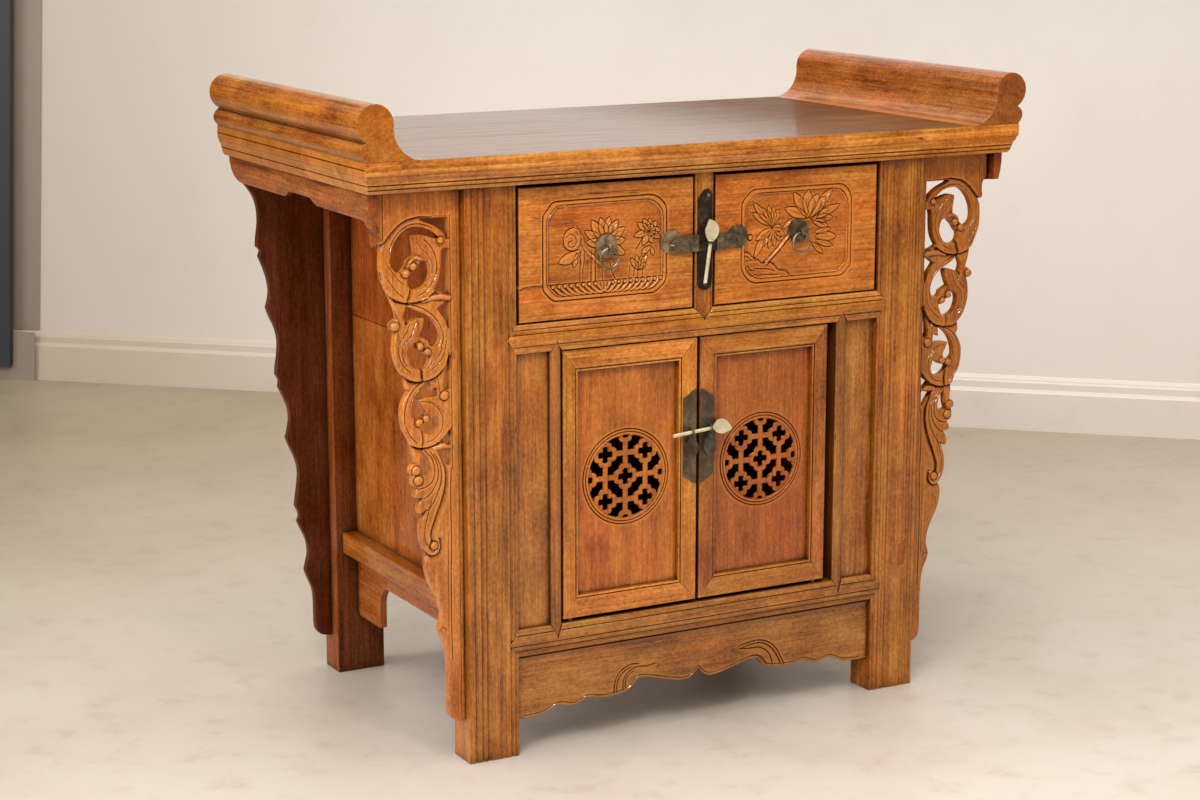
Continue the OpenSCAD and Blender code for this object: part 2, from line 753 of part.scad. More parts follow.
module drawer_sides(side) {
  x0 = drawer_out + box_in;
  x1 = drawer_out + drawer_w - box_in;
  color(deep_lacquer)
    mirrored(side)
      difference() {
        union() {
          block(x0, x0 + drawer_side_t, box_d0, box_d1, drawer_low, drawer_low + box_h);
          block(x1 - drawer_side_t, x1, box_d0, box_d1, drawer_low, drawer_low + box_h);
          block(x0 + drawer_side_t + fit, x1 - drawer_side_t - fit, box_d1 - drawer_side_t, box_d1,
            base_z + base_t + fit, drawer_low + box_h);
        }
        block(x0 + drawer_side_t - base_in - fit, x1 - drawer_side_t + base_in + fit, box_d0 - 1,
          box_d1 + 1, base_z - fit, base_z + base_t + fit);
      }
}

module drawer_bottom(side) {
  x0 = drawer_out + box_in + drawer_side_t - base_in;
  x1 = drawer_out + drawer_w - box_in - drawer_side_t + base_in;
  color(dark_wood)
    mirrored(side)
      block(x0, x1, box_d0 + fit, box_d1, base_z, base_z + base_t);
}

// Doors: mitred frames round a fielded panel pierced by a lattice roundel
bead_in = 5;
bead_step = 1.2;
panel_set = 10;
panel_t = 8;
function door_x0(side) = side < 0 ? left_door_x : right_door_x - door_w;
function stile_left(side) = side < 0 ? hinge_stile_w : stile_w;
function stile_right(side) = side < 0 ? stile_w : hinge_stile_w;

// The opening inside a door's frame, made wider on every side by grow
module door_opening(side, grow) {
  translate([stile_left(side) - grow, door_low + door_rail_h - grow])
    square([door_w - stile_left(side) - stile_right(side) + 2 * grow,
      door_top - door_low - 2 * (door_rail_h - grow)]);
}

module door_frame(side) {
  difference() {
    upright(door_face, door_face + door_t)
      difference() {
        translate([0, door_low])
          square([door_w, door_top - door_low]);
        door_opening(side, 0);
      }
    upright(door_face - 1, door_face + bead_step)
      door_opening(side, bead_in);
    upright(door_face + panel_set - fit, door_face + panel_set + panel_t + fit)
      door_opening(side, groove_in + fit);
  }
}

// The stiles' share of the frame: mitred at the face, and the whole height behind it
mitre_t = 3.5;
module stile_zone(side) {
  for (end = [0, 1])
    translate([end * door_w, 0, 0])
      mirror([end, 0, 0]) {
        w = end == 0 ? stile_left(side) : stile_right(side);
        upright(door_face - 5, door_face + mitre_t)
          polygon([[-5, door_low], [0, door_low], [w, door_low + door_rail_h],
            [w, door_top - door_rail_h], [0, door_top], [-5, door_top]]);
        upright(door_face + mitre_t - eps, door_face + door_t + 5)
          translate([-5, door_low - 1])
            square([w + 5, door_top - door_low + 2]);
      }
}

module door_pegs(side) {
  x = side < 0 ? hinge_in : door_w - hinge_in;
  translate([x, front_y + hinge_d, door_top - 1])
    cylinder(h = mid_bot + peg_l - door_top + 1, r = peg_r, $fn = 48);
  translate([x, front_y + hinge_d, low_top - peg_l])
    cylinder(h = door_low + 1 - low_top + peg_l, r = peg_r, $fn = 48);
}

module door_stiles(side) {
  color(lacquer)
    translate([door_x0(side), 0, 0]) {
      intersection() {
        door_frame(side);
        stile_zone(side);
      }
      door_pegs(side);
    }
}

module door_rails(side) {
  color(lacquer)
    translate([door_x0(side), 0, 0])
      difference() {
        door_frame(side);
        stile_zone(side);
      }
}

// Lattice holes: crosses on the even places, stepped slots between them
cross_l = 12.5;
cross_w = 4.4;
slot_l = 11;
slot_w = 4.2;
module cross_hole() {
  square([2 * cross_l, 2 * cross_w], center = true);
  square([2 * cross_w, 2 * cross_l], center = true);
}

module slot_hole() {
  for (k = [-1, 0, 1])
    translate([k * slot_l * 0.68, -k * slot_l * 0.68])
      square(2 * slot_w, center = true);
}

module lattice_holes() {
  intersection() {
    circle(lattice_r, $fn = 96);
    union() {
      for (i = [-2 : 2])
        for (j = [-2 : 2])
          if ((i + j) % 2 == 0)
            translate([i * lattice_p, j * lattice_p])
              cross_hole();
      for (i = [-2 : 1])
        for (j = [-2 : 1])
          translate([(i + 0.5) * lattice_p, (j + 0.5) * lattice_p])
            mirror([(i + j) % 2 == 0 ? 0 : 1, 0])
              slot_hole();
    }
  }
}

door_mid = (door_low + door_top) / 2 + 2;
roundel_z = door_mid - 1.5;
ring_line_r = 68.5;
function roundel_x(side) = door_w / 2 + (stile_left(side) - stile_right(side)) / 2;
module door_panel(side) {
  color(deep_lacquer)
    translate([door_x0(side), 0, 0])
      difference() {
        upright(door_face + panel_set, door_face + panel_set + panel_t)
          difference() {
            door_opening(side, groove_in);
            translate([roundel_x(side), roundel_z])
              lattice_holes();
          }
        upright(door_face + panel_set - 1, door_face + panel_set + 0.8)
          translate([roundel_x(side), roundel_z])
            difference() {
              circle(ring_line_r, $fn = 96);
              circle(ring_line_r - 1.4, $fn = 96);
            }
      }
}

// Metal on the drawers. A loop is a wire ring that stands on a plate.
module loop_about_x(x, d, z, r, wire) {
  translate([x, front_y + d, z])
    rotate([0, 90, 0])
      rotate_extrude($fn = 36)
        translate([r, 0])
          circle(wire, $fn = 16);
}

module loop_about_z(x, d, z, r, wire) {
  translate([x, front_y + d, z])
    rotate_extrude($fn = 36)
      translate([r, 0])
        circle(wire, $fn = 16);
}

module disc(x, z, r, d0, d1) {
  translate([x, front_y + d1, z])
    rotate([90, 0, 0])
      cylinder(h = d1 - d0, r = r, $fn = 64);
}

pull_x = drawer_out + drawer_w / 2 + 2;
pull_z = drawer_low + 96;
eye_r = 4.2;
eye_wire = 1.4;
eye_d = -7;
eye_z = pull_z - 1.5;
ring_top = eye_z - (eye_r - eye_wire - ring_wire - 0.3);
hasp_x = 54;
hasp_z = pull_z - 1.5;
hinge_r = 3.8;
hinge_wire = 1.1;
staple_d = drawer_face - sheet_t - hinge_r - hinge_wire + 0.3;
staple_x = hasp_x - hinge_r;
strap_z = hasp_z - 4;
module drawer_plates(side) {
  color(old_brass)
    mirrored(side) {
      disc(pull_x, pull_z, plate_r, drawer_face - sheet_t, drawer_face);
      disc(pull_x, eye_z, 2, eye_d + eye_r - 0.5, drawer_face);
      loop_about_x(pull_x, eye_d, eye_z, eye_r, eye_wire);
      disc(hasp_x, hasp_z, plate_r, drawer_face - sheet_t, drawer_face);
      loop_about_z(staple_x + hinge_r, staple_d, strap_z, hinge_r, hinge_wire);
    }
}

module ring(side) {
  color(old_brass)
    mirrored(side)
      translate([pull_x, front_y + eye_d, ring_top - ring_r])
        rotate([90, 0, 0])
          rotate_extrude($fn = 64)
            translate([ring_r, 0])
              circle(ring_wire, $fn = 20);
}

// Hasps: straps that turn on the staples and stop at the keeper under the pin
keeper_x0 = -12;
keeper_x1 = 17;
tip_gap = 0.3;
strap_t = 1.6;
module strap_outline(tip) {
  difference() {
    polygon(smooth([[tip, strap_z + 11.5, 1], [tip, strap_z - 11.5, 1], [tip + 14, strap_z - 11],
      [staple_x - 4, strap_z - 8.5], [staple_x + 3, strap_z - 5], [staple_x + 4.5, strap_z],
      [staple_x + 3, strap_z + 5], [staple_x - 4, strap_z + 8.5], [tip + 14, strap_z + 11]]));
    translate([staple_x, strap_z])
      circle(2, $fn = 32);
  }
}

module hasp(side) {
  tip = side < 0 ? -keeper_x0 + tip_gap : keeper_x1 + tip_gap;
  color(old_brass)
    mirrored(side)
      upright(staple_d - strap_t / 2, staple_d + strap_t / 2)
        strap_outline(tip);
}

lock_low = mid_top + 25;
lock_high = body_h - 24;
lock_half = 12;
pin_d = -9.5;
pin_tilt = 8;
pin_x = 3.4;
pin_z = strap_z + 0.5;
staple_wire = 1.1;
staple_x0 = -9.3;
staple_x1 = 7.6;
staple_front = pin_d - pin_r - 0.4 - staple_wire;
module drawer_pin_place() {
  translate([pin_x, front_y + pin_d, pin_z])
    rotate([0, pin_tilt, 0])
      children();
}

// A wide staple: the slanting pin lifts straight up out of it
module lock_staple() {
  translate([staple_x0, front_y + staple_front, pin_z])
    rotate([0, 90, 0])
      cylinder(h = staple_x1 - staple_x0, r = staple_wire, $fn = 24);
  for (x = [staple_x0, staple_x1]) {
    translate([x, front_y + staple_front, pin_z])
      rotate([-90, 0, 0])
        cylinder(h = staple_d - staple_front, r = staple_wire, $fn = 24);
    translate([x, front_y + staple_front, pin_z])
      sphere(r = staple_wire, $fn = 24);
  }
}

module drawer_lock_plate() {
  color(old_brass) {
    upright(divider_face - sheet_t, divider_face)
      polygon(smooth([[-lock_half, lock_low + 14, 1], [-9, lock_low + 4], [0, lock_low], [9, lock_low + 4],
        [lock_half, lock_low + 14, 1], [lock_half, lock_high - 8, 1], [6, lock_high, 1], [-2, lock_high - 2, 1],
        [-lock_half, lock_high - 14, 1]]));
    upright(staple_d - strap_t / 2, staple_d + strap_t / 2)
      translate([keeper_x0, strap_z - 11.5])
        square([keeper_x1 - keeper_x0, 23]);
    block(pin_x - 3, pin_x + 3, staple_d, divider_face - sheet_t + 0.2, pin_z - 4, pin_z + 4);
    lock_staple();
  }
}

pin_collar_z = 1.9;
pin_leaf = [[-4.4, 3, 1], [4.4, 3, 1], [7.5, 6.5], [10.5, 13], [10, 21], [5, 28], [-1, 31], [-6, 32, 1],
  [-8.5, 24], [-10.5, 16], [-7.5, 7]];
module drawer_pin() {
  color(bright_brass)
    drawer_pin_place()
      union() {
        translate([0, 0, -57])
          cylinder(h = 64, r = pin_r, $fn = 32);
        translate([0, 0, pin_collar_z])
          cylinder(h = 2, r = 4.6, $fn = 32);
        translate([0, 1.3, 0])
          rotate([90, 0, 0])
            linear_extrude(2.6)
              polygon(smooth(pin_leaf));
      }
}

// Metal on the doors: a plate with a loop on each meeting stile, a pin through both loops
door_plate_w = 21.5;
door_plate_z = door_mid + 46.5;
door_plate_h = 136;
door_loop_r = 6;
door_loop_wire = 1.1;
door_loop_d = door_face - sheet_t - door_loop_r - door_loop_wire + 0.3;
pin_sag = 0.4;
door_pin_tilt = 4.6;
door_pin_z = door_plate_z + 9.5;
meet_x = left_door_x + door_w + meeting_gap / 2;
left_loop_x = meet_x - 15;
right_loop_x = meet_x + 15;
function loop_z(x) = door_pin_z + pin_sag + (x - meet_x) * tan(door_pin_tilt);
module door_plate(side) {
  edge = side < 0 ? left_door_x + door_w - 1 : right_door_x - door_w + 1;
  loop_x = side < 0 ? left_loop_x : right_loop_x;
  color(old_brass) {
    upright(door_face - sheet_t, door_face)
      translate([edge, door_plate_z])
        mirror([side < 0 ? 1 : 0, 0])
          polygon(smooth([[0, -door_plate_h / 2, 1], [6, 2 - door_plate_h / 2], [14, 8 - door_plate_h / 2],
            [door_plate_w, 12 - door_plate_h / 2, 1], [door_plate_w, door_plate_h / 2 - 12, 1],
            [14, door_plate_h / 2 - 8], [6, door_plate_h / 2 - 2], [0, door_plate_h / 2, 1]]));
    loop_about_x(loop_x, door_loop_d, loop_z(loop_x), door_loop_r, door_loop_wire);
  }
}

drop_hole = 1.7;
drop_seat = 0.3;
drop_top = door_loop_r - 2.7;
drop_outline = [[0, 0], [3, 1.5], [2.9, 5.7], [7.5, 11.2], [10.5, 18.7], [9.5, 26.7], [4.5, 33.2],
  [0, 37.7, 1], [-4.5, 33.2], [-9.5, 26.7], [-10.5, 18.7], [-7.5, 11.2], [-2.9, 5.7], [-3, 1.5]];
module drop(side) {
  loop_x = side < 0 ? left_loop_x : right_loop_x;
  color(old_brass)
    upright(door_loop_d - 0.8, door_loop_d + 0.8)
      translate([loop_x, loop_z(loop_x)])
        mirror([0, 1])
          difference() {
            translate([0, drop_top])
              polygon(smooth(drop_outline));
            translate([0, door_loop_r + drop_seat])
              circle(drop_hole, $fn = 28);
          }
}

module door_pin_place() {
  translate([meet_x, front_y + door_loop_d, door_pin_z])
    rotate([0, -door_pin_tilt, 0])
      children();
}

door_leaf = [[0, 0], [4, 6.5], [11, 10.5], [19, 9], [26, 2], [30, -7, 1], [22, -9.5], [13, -10.5], [5, -7]];
module door_pin() {
  color(bright_brass)
    door_pin_place()
      union() {
        translate([0.2, 0, 0])
          rotate([0, 90, 0])
            cylinder(h = 22, r = pin_r, $fn = 32);
        translate([20, 1.3, 0])
          rotate([90, 0, 0])
            linear_extrude(2.6)
              polygon(smooth(door_leaf));
      }
}

module door_pin_tip() {
  color(bright_brass)
    door_pin_place()
      translate([-45, 0, 0])
        rotate([0, 90, 0])
          cylinder(h = 44.8, r = pin_r, $fn = 32);
}

top_front_board();
top_middle_board();
top_back_board();
top_battens();
flange(-1);  // flange_left
flange(1);  // flange_right
end_apron(-1);  // end_apron_left
end_apron(1);  // end_apron_right
front_post(-1);  // front_post_left
front_post(1);  // front_post_right
back_leg(-1);  // back_leg_left
back_leg(1);  // back_leg_right
mid_rail();
bottom_rail();
drawer_divider();
door_jambs();
front_side_panels();
front_apron();
front_spandrel(-1);  // front_spandrel_left
front_spandrel(1);  // front_spandrel_right
back_spandrels();
side_panel(-1);  // side_panel_left
side_panel(1);  // side_panel_right
side_rail(-1);  // side_rail_left
side_rail(1);  // side_rail_right
side_top_rails();
side_apron(-1);  // side_apron_left
side_apron(1);  // side_apron_right
back_rails();
back_panels();
floor_board();
drawer_runners();
drawer_guides();
drawer_front(-1);  // left_drawer_front
drawer_sides(-1);  // left_drawer_sides
drawer_bottom(-1);  // left_drawer_bottom
drawer_front(1);  // right_drawer_front
drawer_sides(1);  // right_drawer_sides
drawer_bottom(1);  // right_drawer_bottom
door_stiles(-1);  // left_door_stiles
door_rails(-1);  // left_door_rails
door_panel(-1);  // left_door_panel
door_stiles(1);  // right_door_stiles
door_rails(1);  // right_door_rails
door_panel(1);  // right_door_panel
drawer_plates(-1);  // left_drawer_plates
drawer_plates(1);  // right_drawer_plates
ring(-1);  // left_ring
ring(1);  // right_ring
hasp(-1);  // left_hasp
hasp(1);  // right_hasp
drawer_lock_plate();
drawer_pin();
door_plate(-1);  // left_door_plate
door_plate(1);  // right_door_plate
drop(-1);  // left_drop
drop(1);  // right_drop
door_pin();
door_pin_tip();
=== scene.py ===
# %% [markdown]
# # An altar cabinet of honey-coloured lacquered wood
#
# The cabinet's boards, rails, drawers, doors and metal come from its imported CAD model.
# This script gives them worn edges, carving, grain and light. Sizes here are in
# millimetres and become metres when a mesh is made. Depths count back from the faces of
# the front posts.
#
# The frame holds the CAD pieces and says which body each one moves with.

# %% Load the frame
import json
import math

import bmesh
import bpy
import numpy as np
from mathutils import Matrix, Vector, noise
from mathutils.geometry import delaunay_2d_cdt


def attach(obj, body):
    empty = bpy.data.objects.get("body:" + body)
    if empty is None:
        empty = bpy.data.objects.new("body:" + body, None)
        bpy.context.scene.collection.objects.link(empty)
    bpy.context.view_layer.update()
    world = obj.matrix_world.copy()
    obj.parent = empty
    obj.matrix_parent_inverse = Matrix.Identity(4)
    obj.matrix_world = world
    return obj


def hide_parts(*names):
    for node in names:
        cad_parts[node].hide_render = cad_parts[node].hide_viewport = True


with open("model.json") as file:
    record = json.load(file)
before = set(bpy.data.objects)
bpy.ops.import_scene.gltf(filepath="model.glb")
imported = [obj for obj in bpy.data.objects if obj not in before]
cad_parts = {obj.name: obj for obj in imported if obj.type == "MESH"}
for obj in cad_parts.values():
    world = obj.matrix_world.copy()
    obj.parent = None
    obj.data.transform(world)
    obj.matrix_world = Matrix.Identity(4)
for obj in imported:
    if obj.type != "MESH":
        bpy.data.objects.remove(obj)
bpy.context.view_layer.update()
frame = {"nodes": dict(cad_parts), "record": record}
MM = 0.001
FRONT = -243.7  # Y of the front posts' faces

# %% [markdown]
# ## Colours and nodes
# A colour is written as it looks on screen, and one function turns it linear. A material
# is a net of nodes, and one function adds a node with its settings and links. The three
# sets of settings below recur in every finish: a soft change from one value to another, a
# colour laid over another, and a tint.

# %% Colour and node helpers
def linear(code):
    """An sRGB hex colour as a linear colour."""
    channels = [int(code[i : i + 2], 16) / 255 for i in (1, 3, 5)]
    return tuple(c / 12.92 if c <= 0.04045 else ((c + 0.055) / 1.055) ** 2.4 for c in channels) + (1.0,)


def add_node(tree, kind, inputs=None, out=0, **settings):
    """Adds one node and gives one of its outputs, or the node itself where out is None.
    An input is a value or another node's output."""
    node = tree.nodes.new("ShaderNode" + kind)
    for key, value in settings.items():
        setattr(node, key, value)
    for key, value in (inputs or {}).items():
        if isinstance(value, bpy.types.NodeSocket):
            tree.links.new(value, node.inputs[key])
        else:
            node.inputs[key].default_value = value
    return node if out is None else node.outputs[out]


SOFT = {"interpolation_type": "SMOOTHSTEP"}
OVER = {"out": 2, "data_type": "RGBA"}
TINT = {"out": 2, "data_type": "RGBA", "blend_type": "MULTIPLY"}


def new_material(name):
    material = bpy.data.materials.new(name)
    material.use_nodes = True
    material.node_tree.nodes.clear()
    return material, material.node_tree


def set_stops(ramp, stops):
    """Gives a colour ramp its stops, each a place and a linear colour."""
    elements = ramp.color_ramp.elements
    elements[0].position, elements[0].color = stops[0]
    elements[1].position, elements[1].color = stops[-1]
    for place, colour in stops[1:-1]:
        elements.new(place).color = colour
    return ramp.outputs["Color"]


print("honey brown as a linear colour:", [round(c, 3) for c in linear("#C07A3C")])

# %% [markdown]
# ## Patterns in the wood
# Wood varies along its grain far more slowly than across it, so each pattern is a noise
# with one scale along the grain and another across it, in waves per metre. Growth bands
# depend on the distance from the pith, which lies beside the board. Real fibres and pores
# are finer than a render shows, so the fibres are drawn 2.4 mm wide and the pores 1 mm.

# %% Grain and growth bands
BANDS_PER_METRE = 170.0
SHIFT = (0.731, 0.197, 0.413)


def grain_space(tree, grain, seed):
    """Object coordinates turned so that the first one runs along the grain."""
    split = add_node(tree, "SeparateXYZ", {0: add_node(tree, "TexCoord", out="Object")}, out=None)
    order = {"X": (0, 1, 2), "Y": (1, 2, 0), "Z": (2, 0, 1)}[grain]
    joined = add_node(tree, "CombineXYZ", {i: split.outputs[k] for i, k in enumerate(order)})
    return add_node(tree, "VectorMath", {0: joined, 1: tuple(seed * s for s in SHIFT)})


def stretched_noise(tree, place, scale, detail=3.0, roughness=0.55):
    spread = add_node(tree, "VectorMath", {0: place, 1: scale}, operation="MULTIPLY")
    return add_node(
        tree, "TexNoise", {"Vector": spread, "Scale": 1.0, "Detail": detail, "Roughness": roughness},
    )


def growth_bands(tree, place, seed, pith):
    """Bands round the pith, about 6 mm apart, that bend a little along the board."""
    slow = add_node(tree, "VectorMath", {0: place, 1: (2.2, 6.0, 6.0)}, operation="MULTIPLY")
    bend = add_node(tree, "TexNoise", {"Vector": slow, "Scale": 1.0, "Detail": 2.0}, out="Color")
    bend = add_node(tree, "VectorMath", {0: bend, 1: (0.5, 0.5, 0.5)}, operation="SUBTRACT")
    bent = add_node(tree, "VectorMath", {0: bend, 1: (0.0, 0.03, 0.03), 2: place}, operation="MULTIPLY_ADD")
    centre = (seed * SHIFT[0], seed * SHIFT[1] + pith[0], seed * SHIFT[2] + pith[1])
    spoke = add_node(tree, "VectorMath", {0: bent, 1: centre}, operation="SUBTRACT")
    spoke = add_node(tree, "VectorMath", {0: spoke, 1: (0.03, 1.0, 1.0)}, operation="MULTIPLY")
    radius = add_node(tree, "VectorMath", {0: spoke}, out="Value", operation="LENGTH")
    bands = add_node(tree, "Math", {0: radius, 1: BANDS_PER_METRE}, operation="MULTIPLY")
    where = add_node(tree, "CombineXYZ", {0: bands, 1: seed * 3.1})
    return add_node(tree, "TexNoise", {"Vector": where, "Scale": 1.0, "Detail": 4.0, "Roughness": 0.62})


def board_patterns(tree, place, seed, pith):
    """Every pattern of one board by its name."""
    return {
        "bands": growth_bands(tree, place, seed, pith),
        "fibre": stretched_noise(tree, place, (11.0, 420.0, 420.0), 4.0, 0.65),
        "streak": stretched_noise(tree, place, (3.2, 70.0, 70.0), 4.0, 0.6),
        "patch": stretched_noise(tree, place, (11.0, 19.0, 19.0), 5.0, 0.6),
        "grit": stretched_noise(tree, place, (170.0, 260.0, 260.0), 3.0, 0.6),
        "hue": stretched_noise(tree, place, (5.0, 17.0, 17.0), 4.0, 0.55),
        "cloud": stretched_noise(tree, place, (7.0, 10.0, 10.0), 6.0, 0.68),
        "pores": stretched_noise(tree, place, (70.0, 900.0, 900.0), 2.0),
        "lines": stretched_noise(tree, place, (1.6, 46.0, 46.0), 3.0, 0.5),
        "marks": stretched_noise(tree, place, (95.0, 120.0, 120.0), 4.0, 0.72),
        "wave": stretched_noise(tree, place, (12.0, 34.0, 34.0), 4.0, 0.55),
    }


print("growth bands about", round(1000 / BANDS_PER_METRE, 1), "mm apart")

# %% [markdown]
# ## The board's own colour
# The boards look like an old close-grained wood, stained honey and varnished. What wood
# it is can't be told from the photograph. Each board has one seen colour. The varnish
# adds its own pale reflection to it, so that is taken off first. A ramp of five tones
# then runs from the dark lines to the rubbed edges, and a second, slower noise makes
# parts of the board a little redder or greener.

# %% Tones and figure
REFLECTION = 0.026


def wood_tones(seen, coat):
    """Five linear tones of a board: dark, warm, base, gold and pale."""
    base = tuple(max(c - REFLECTION * coat, 0.36 * c - 0.002, 0.002) for c in linear(seen)[:3])
    red, green, blue = base
    return (
        (red * 0.34, green * 0.27, blue * 0.12, 1.0),
        (red * 0.76, green * 0.65, blue * 0.48, 1.0),
        base + (1.0,),
        (min(red * 1.32, 0.9), green * 1.46, blue * 1.9 + 0.004, 1.0),
        (min(red * 1.6, 0.9), green * 2.0, blue * 3.0 + 0.016, 1.0),
    )


def board_colour(tree, patterns, tones, along_grain, figure, contrast):
    """The figure of a clean board. It is quieter on the ends of the board."""
    tone = 0.5
    for label, low, share in (("bands", 0.3, 0.15 * figure), ("fibre", 0.25, 0.32),
                              ("streak", 0.25, 0.22 * figure), ("patch", 0.25, 0.36), ("grit", 0.25, 0.30)):
        spread = add_node(tree, "MapRange", {0: patterns[label], 1: low, 2: 1.0 - low, 3: -1.0, 4: 1.0})
        tone = add_node(tree, "Math", {0: spread, 1: share, 2: tone}, operation="MULTIPLY_ADD")
    end = add_node(tree, "Math", {0: along_grain}, operation="ABSOLUTE")
    amount = add_node(tree, "MapRange", {0: end, 1: 0.6, 2: 0.95, 3: contrast, 4: 0.6 * contrast}, **SOFT)
    tone = add_node(tree, "Math", {0: tone, 1: 0.5}, operation="SUBTRACT")
    tone = add_node(tree, "Math", {0: tone, 1: amount, 2: 0.5}, operation="MULTIPLY_ADD")
    ramp = add_node(tree, "ValToRGB", {0: tone}, out=None)
    colour = set_stops(ramp, list(zip((0.0, 0.28, 0.5, 0.74, 1.0), tones)))
    for far, tint in ((0.36, (1.05, 0.93, 0.84, 1.0)), (0.64, (0.96, 1.04, 1.02, 1.0))):
        share = add_node(tree, "MapRange", {0: patterns["hue"], 1: 0.50, 2: far}, **SOFT)
        colour = add_node(tree, "Mix", {0: share, 6: colour, 7: tint}, **TINT)
    return colour

# %% [markdown]
# ## Signs of long use, and painted shade
# Stains, pores, hairline cracks and dents are patterns that lie over the figure. Where a
# surface is shut in, which ambient occlusion measures, it is darkened: within 11 mm that
# is dirt and painted shade, and within 70 mm painted shade alone. The same measure taken
# inside the wood finds the edges that hands have rubbed pale. The carved meshes also bring
# two marks of their own, "relief" and "sunk": cut lines and the sunk ground are darkened
# with painted shade and dirt, and crests are golden, with wear and a painted highlight.

# %% Stains, cracks, dirt and painted shade
DIRT_AND_SHADE = 0.9
WEAR = 0.5
# crack and dent are the wood's own marks; the other two are dark colours for painted shade and dirt, in
# carved lines and in hollows.
WOOD_DARKS_AND_SHADE = {"crack": "#1E0D04", "dent": "#2A1206", "cut": "#331709", "dirt_and_shade": "#241006"}


def stained(tree, colour, patterns, dark, stains):
    """Stains, pores, cracks and dents. Gives the colour, the pores and the cracks."""
    stain = add_node(tree, "MapRange", {0: patterns["cloud"], 1: 0.53, 2: 0.70, 4: stains}, **SOFT)
    colour = add_node(tree, "Mix", {0: stain, 6: colour, 7: linear("#BC8048")}, **TINT)
    pits = add_node(tree, "MapRange", {0: patterns["pores"], 1: 0.62, 2: 0.74, 4: 0.35}, **SOFT)
    colour = add_node(tree, "Mix", {0: pits, 6: colour, 7: dark}, **OVER)
    off = add_node(tree, "Math", {0: patterns["lines"], 1: 0.56}, operation="SUBTRACT")
    off = add_node(tree, "Math", {0: off}, operation="ABSOLUTE")
    crack = add_node(tree, "MapRange", {0: off, 1: 0.0042, 2: 0.0010}, **SOFT)
    some = add_node(tree, "MapRange", {0: patterns["cloud"], 1: 0.46, 2: 0.6, 4: 0.8}, **SOFT)
    crack = add_node(tree, "Math", {0: crack, 1: some}, operation="MULTIPLY")
    colour = add_node(tree, "Mix", {0: crack, 6: colour, 7: linear(WOOD_DARKS_AND_SHADE["crack"])}, **OVER)
    dent = add_node(tree, "MapRange", {0: patterns["marks"], 1: 0.70, 2: 0.78, 4: 0.8}, **SOFT)
    colour = add_node(tree, "Mix", {0: dent, 6: colour, 7: linear(WOOD_DARKS_AND_SHADE["dent"])}, **OVER)
    return colour, pits, crack


def worn(tree, colour, patterns, gold, pale, scoring):
    """Painted shade and dirt in cut lines, sunk ground and hollows, painted shade where shut in, rubbed
    edges, and gold crests with wear and a painted highlight. Gives the colour, the measure of the painted
    shade and that of the dirt and shade in hollows.
    """
    # The sunk ground turns darker and redder: painted shade and dirt.
    sunk = add_node(tree, "Attribute", out="Fac", attribute_name="sunk")
    sunk = add_node(tree, "MapRange", {0: sunk, 1: 0.3, 2: 1.3, 4: 0.45}, **SOFT)
    colour = add_node(tree, "Mix", {0: sunk, 6: colour, 7: (0.86, 0.66, 0.50, 1.0)}, **TINT)
    # Cut lines are darkened: painted shade and dirt in the carving's grooves and scribed lines.
    cut = add_node(tree, "Attribute", out="Fac", attribute_name="relief")
    line = add_node(tree, "Math", {0: patterns["grit"], 1: -0.25, 2: cut}, operation="MULTIPLY_ADD")
    line = add_node(tree, "MapRange", {0: line, 1: -0.30, 2: -1.10, 4: scoring})
    colour = add_node(tree, "Mix", {0: line, 6: colour, 7: linear(WOOD_DARKS_AND_SHADE["cut"])}, **OVER)
    # Painted shade where the piece is shut in, measured over 70 mm.
    deep = add_node(tree, "AmbientOcclusion", {"Distance": 0.07}, out="AO", samples=4)
    shade = add_node(tree, "MapRange", {0: deep, 1: 0.62, 2: 0.10, 4: 0.92}, **SOFT)
    colour = add_node(tree, "Mix", {0: shade, 6: colour, 7: (0.20, 0.13, 0.09, 1.0)}, **TINT)
    # Dirt and painted shade in hollows, measured over 11 mm.
    hollow = add_node(tree, "AmbientOcclusion", {"Distance": 0.011}, out="AO", samples=4)
    hollow = add_node(tree, "Math", {0: patterns["patch"], 1: 0.30, 2: hollow}, operation="MULTIPLY_ADD")
    hollow_dirt_and_shade = add_node(tree, "MapRange", {0: hollow, 1: 0.98, 2: 0.48, 4: DIRT_AND_SHADE})
    colour = add_node(tree, "Mix", {0: hollow_dirt_and_shade, 6: colour, 7: linear(WOOD_DARKS_AND_SHADE["dirt_and_shade"])}, **OVER)
    edge = add_node(tree, "AmbientOcclusion", {"Distance": 0.0026}, out="AO", samples=4, inside=True)
    edge = add_node(tree, "Math", {0: patterns["grit"], 1: -0.35, 2: edge}, operation="MULTIPLY_ADD")
    rubbed = add_node(tree, "MapRange", {0: edge, 1: 0.62, 2: 0.28, 4: WEAR})
    colour = add_node(tree, "Mix", {0: rubbed, 6: colour, 7: pale}, **OVER)
    # Crests turn gold: rubbed wear and a painted highlight.
    crest = add_node(tree, "Math", {0: patterns["grit"], 1: -0.3, 2: cut}, operation="MULTIPLY_ADD")
    crest = add_node(tree, "MapRange", {0: crest, 1: 0.05, 2: 0.50, 4: 0.62})
    colour = add_node(tree, "Mix", {0: crest, 6: colour, 7: gold}, **OVER)
    return colour, deep, hollow_dirt_and_shade
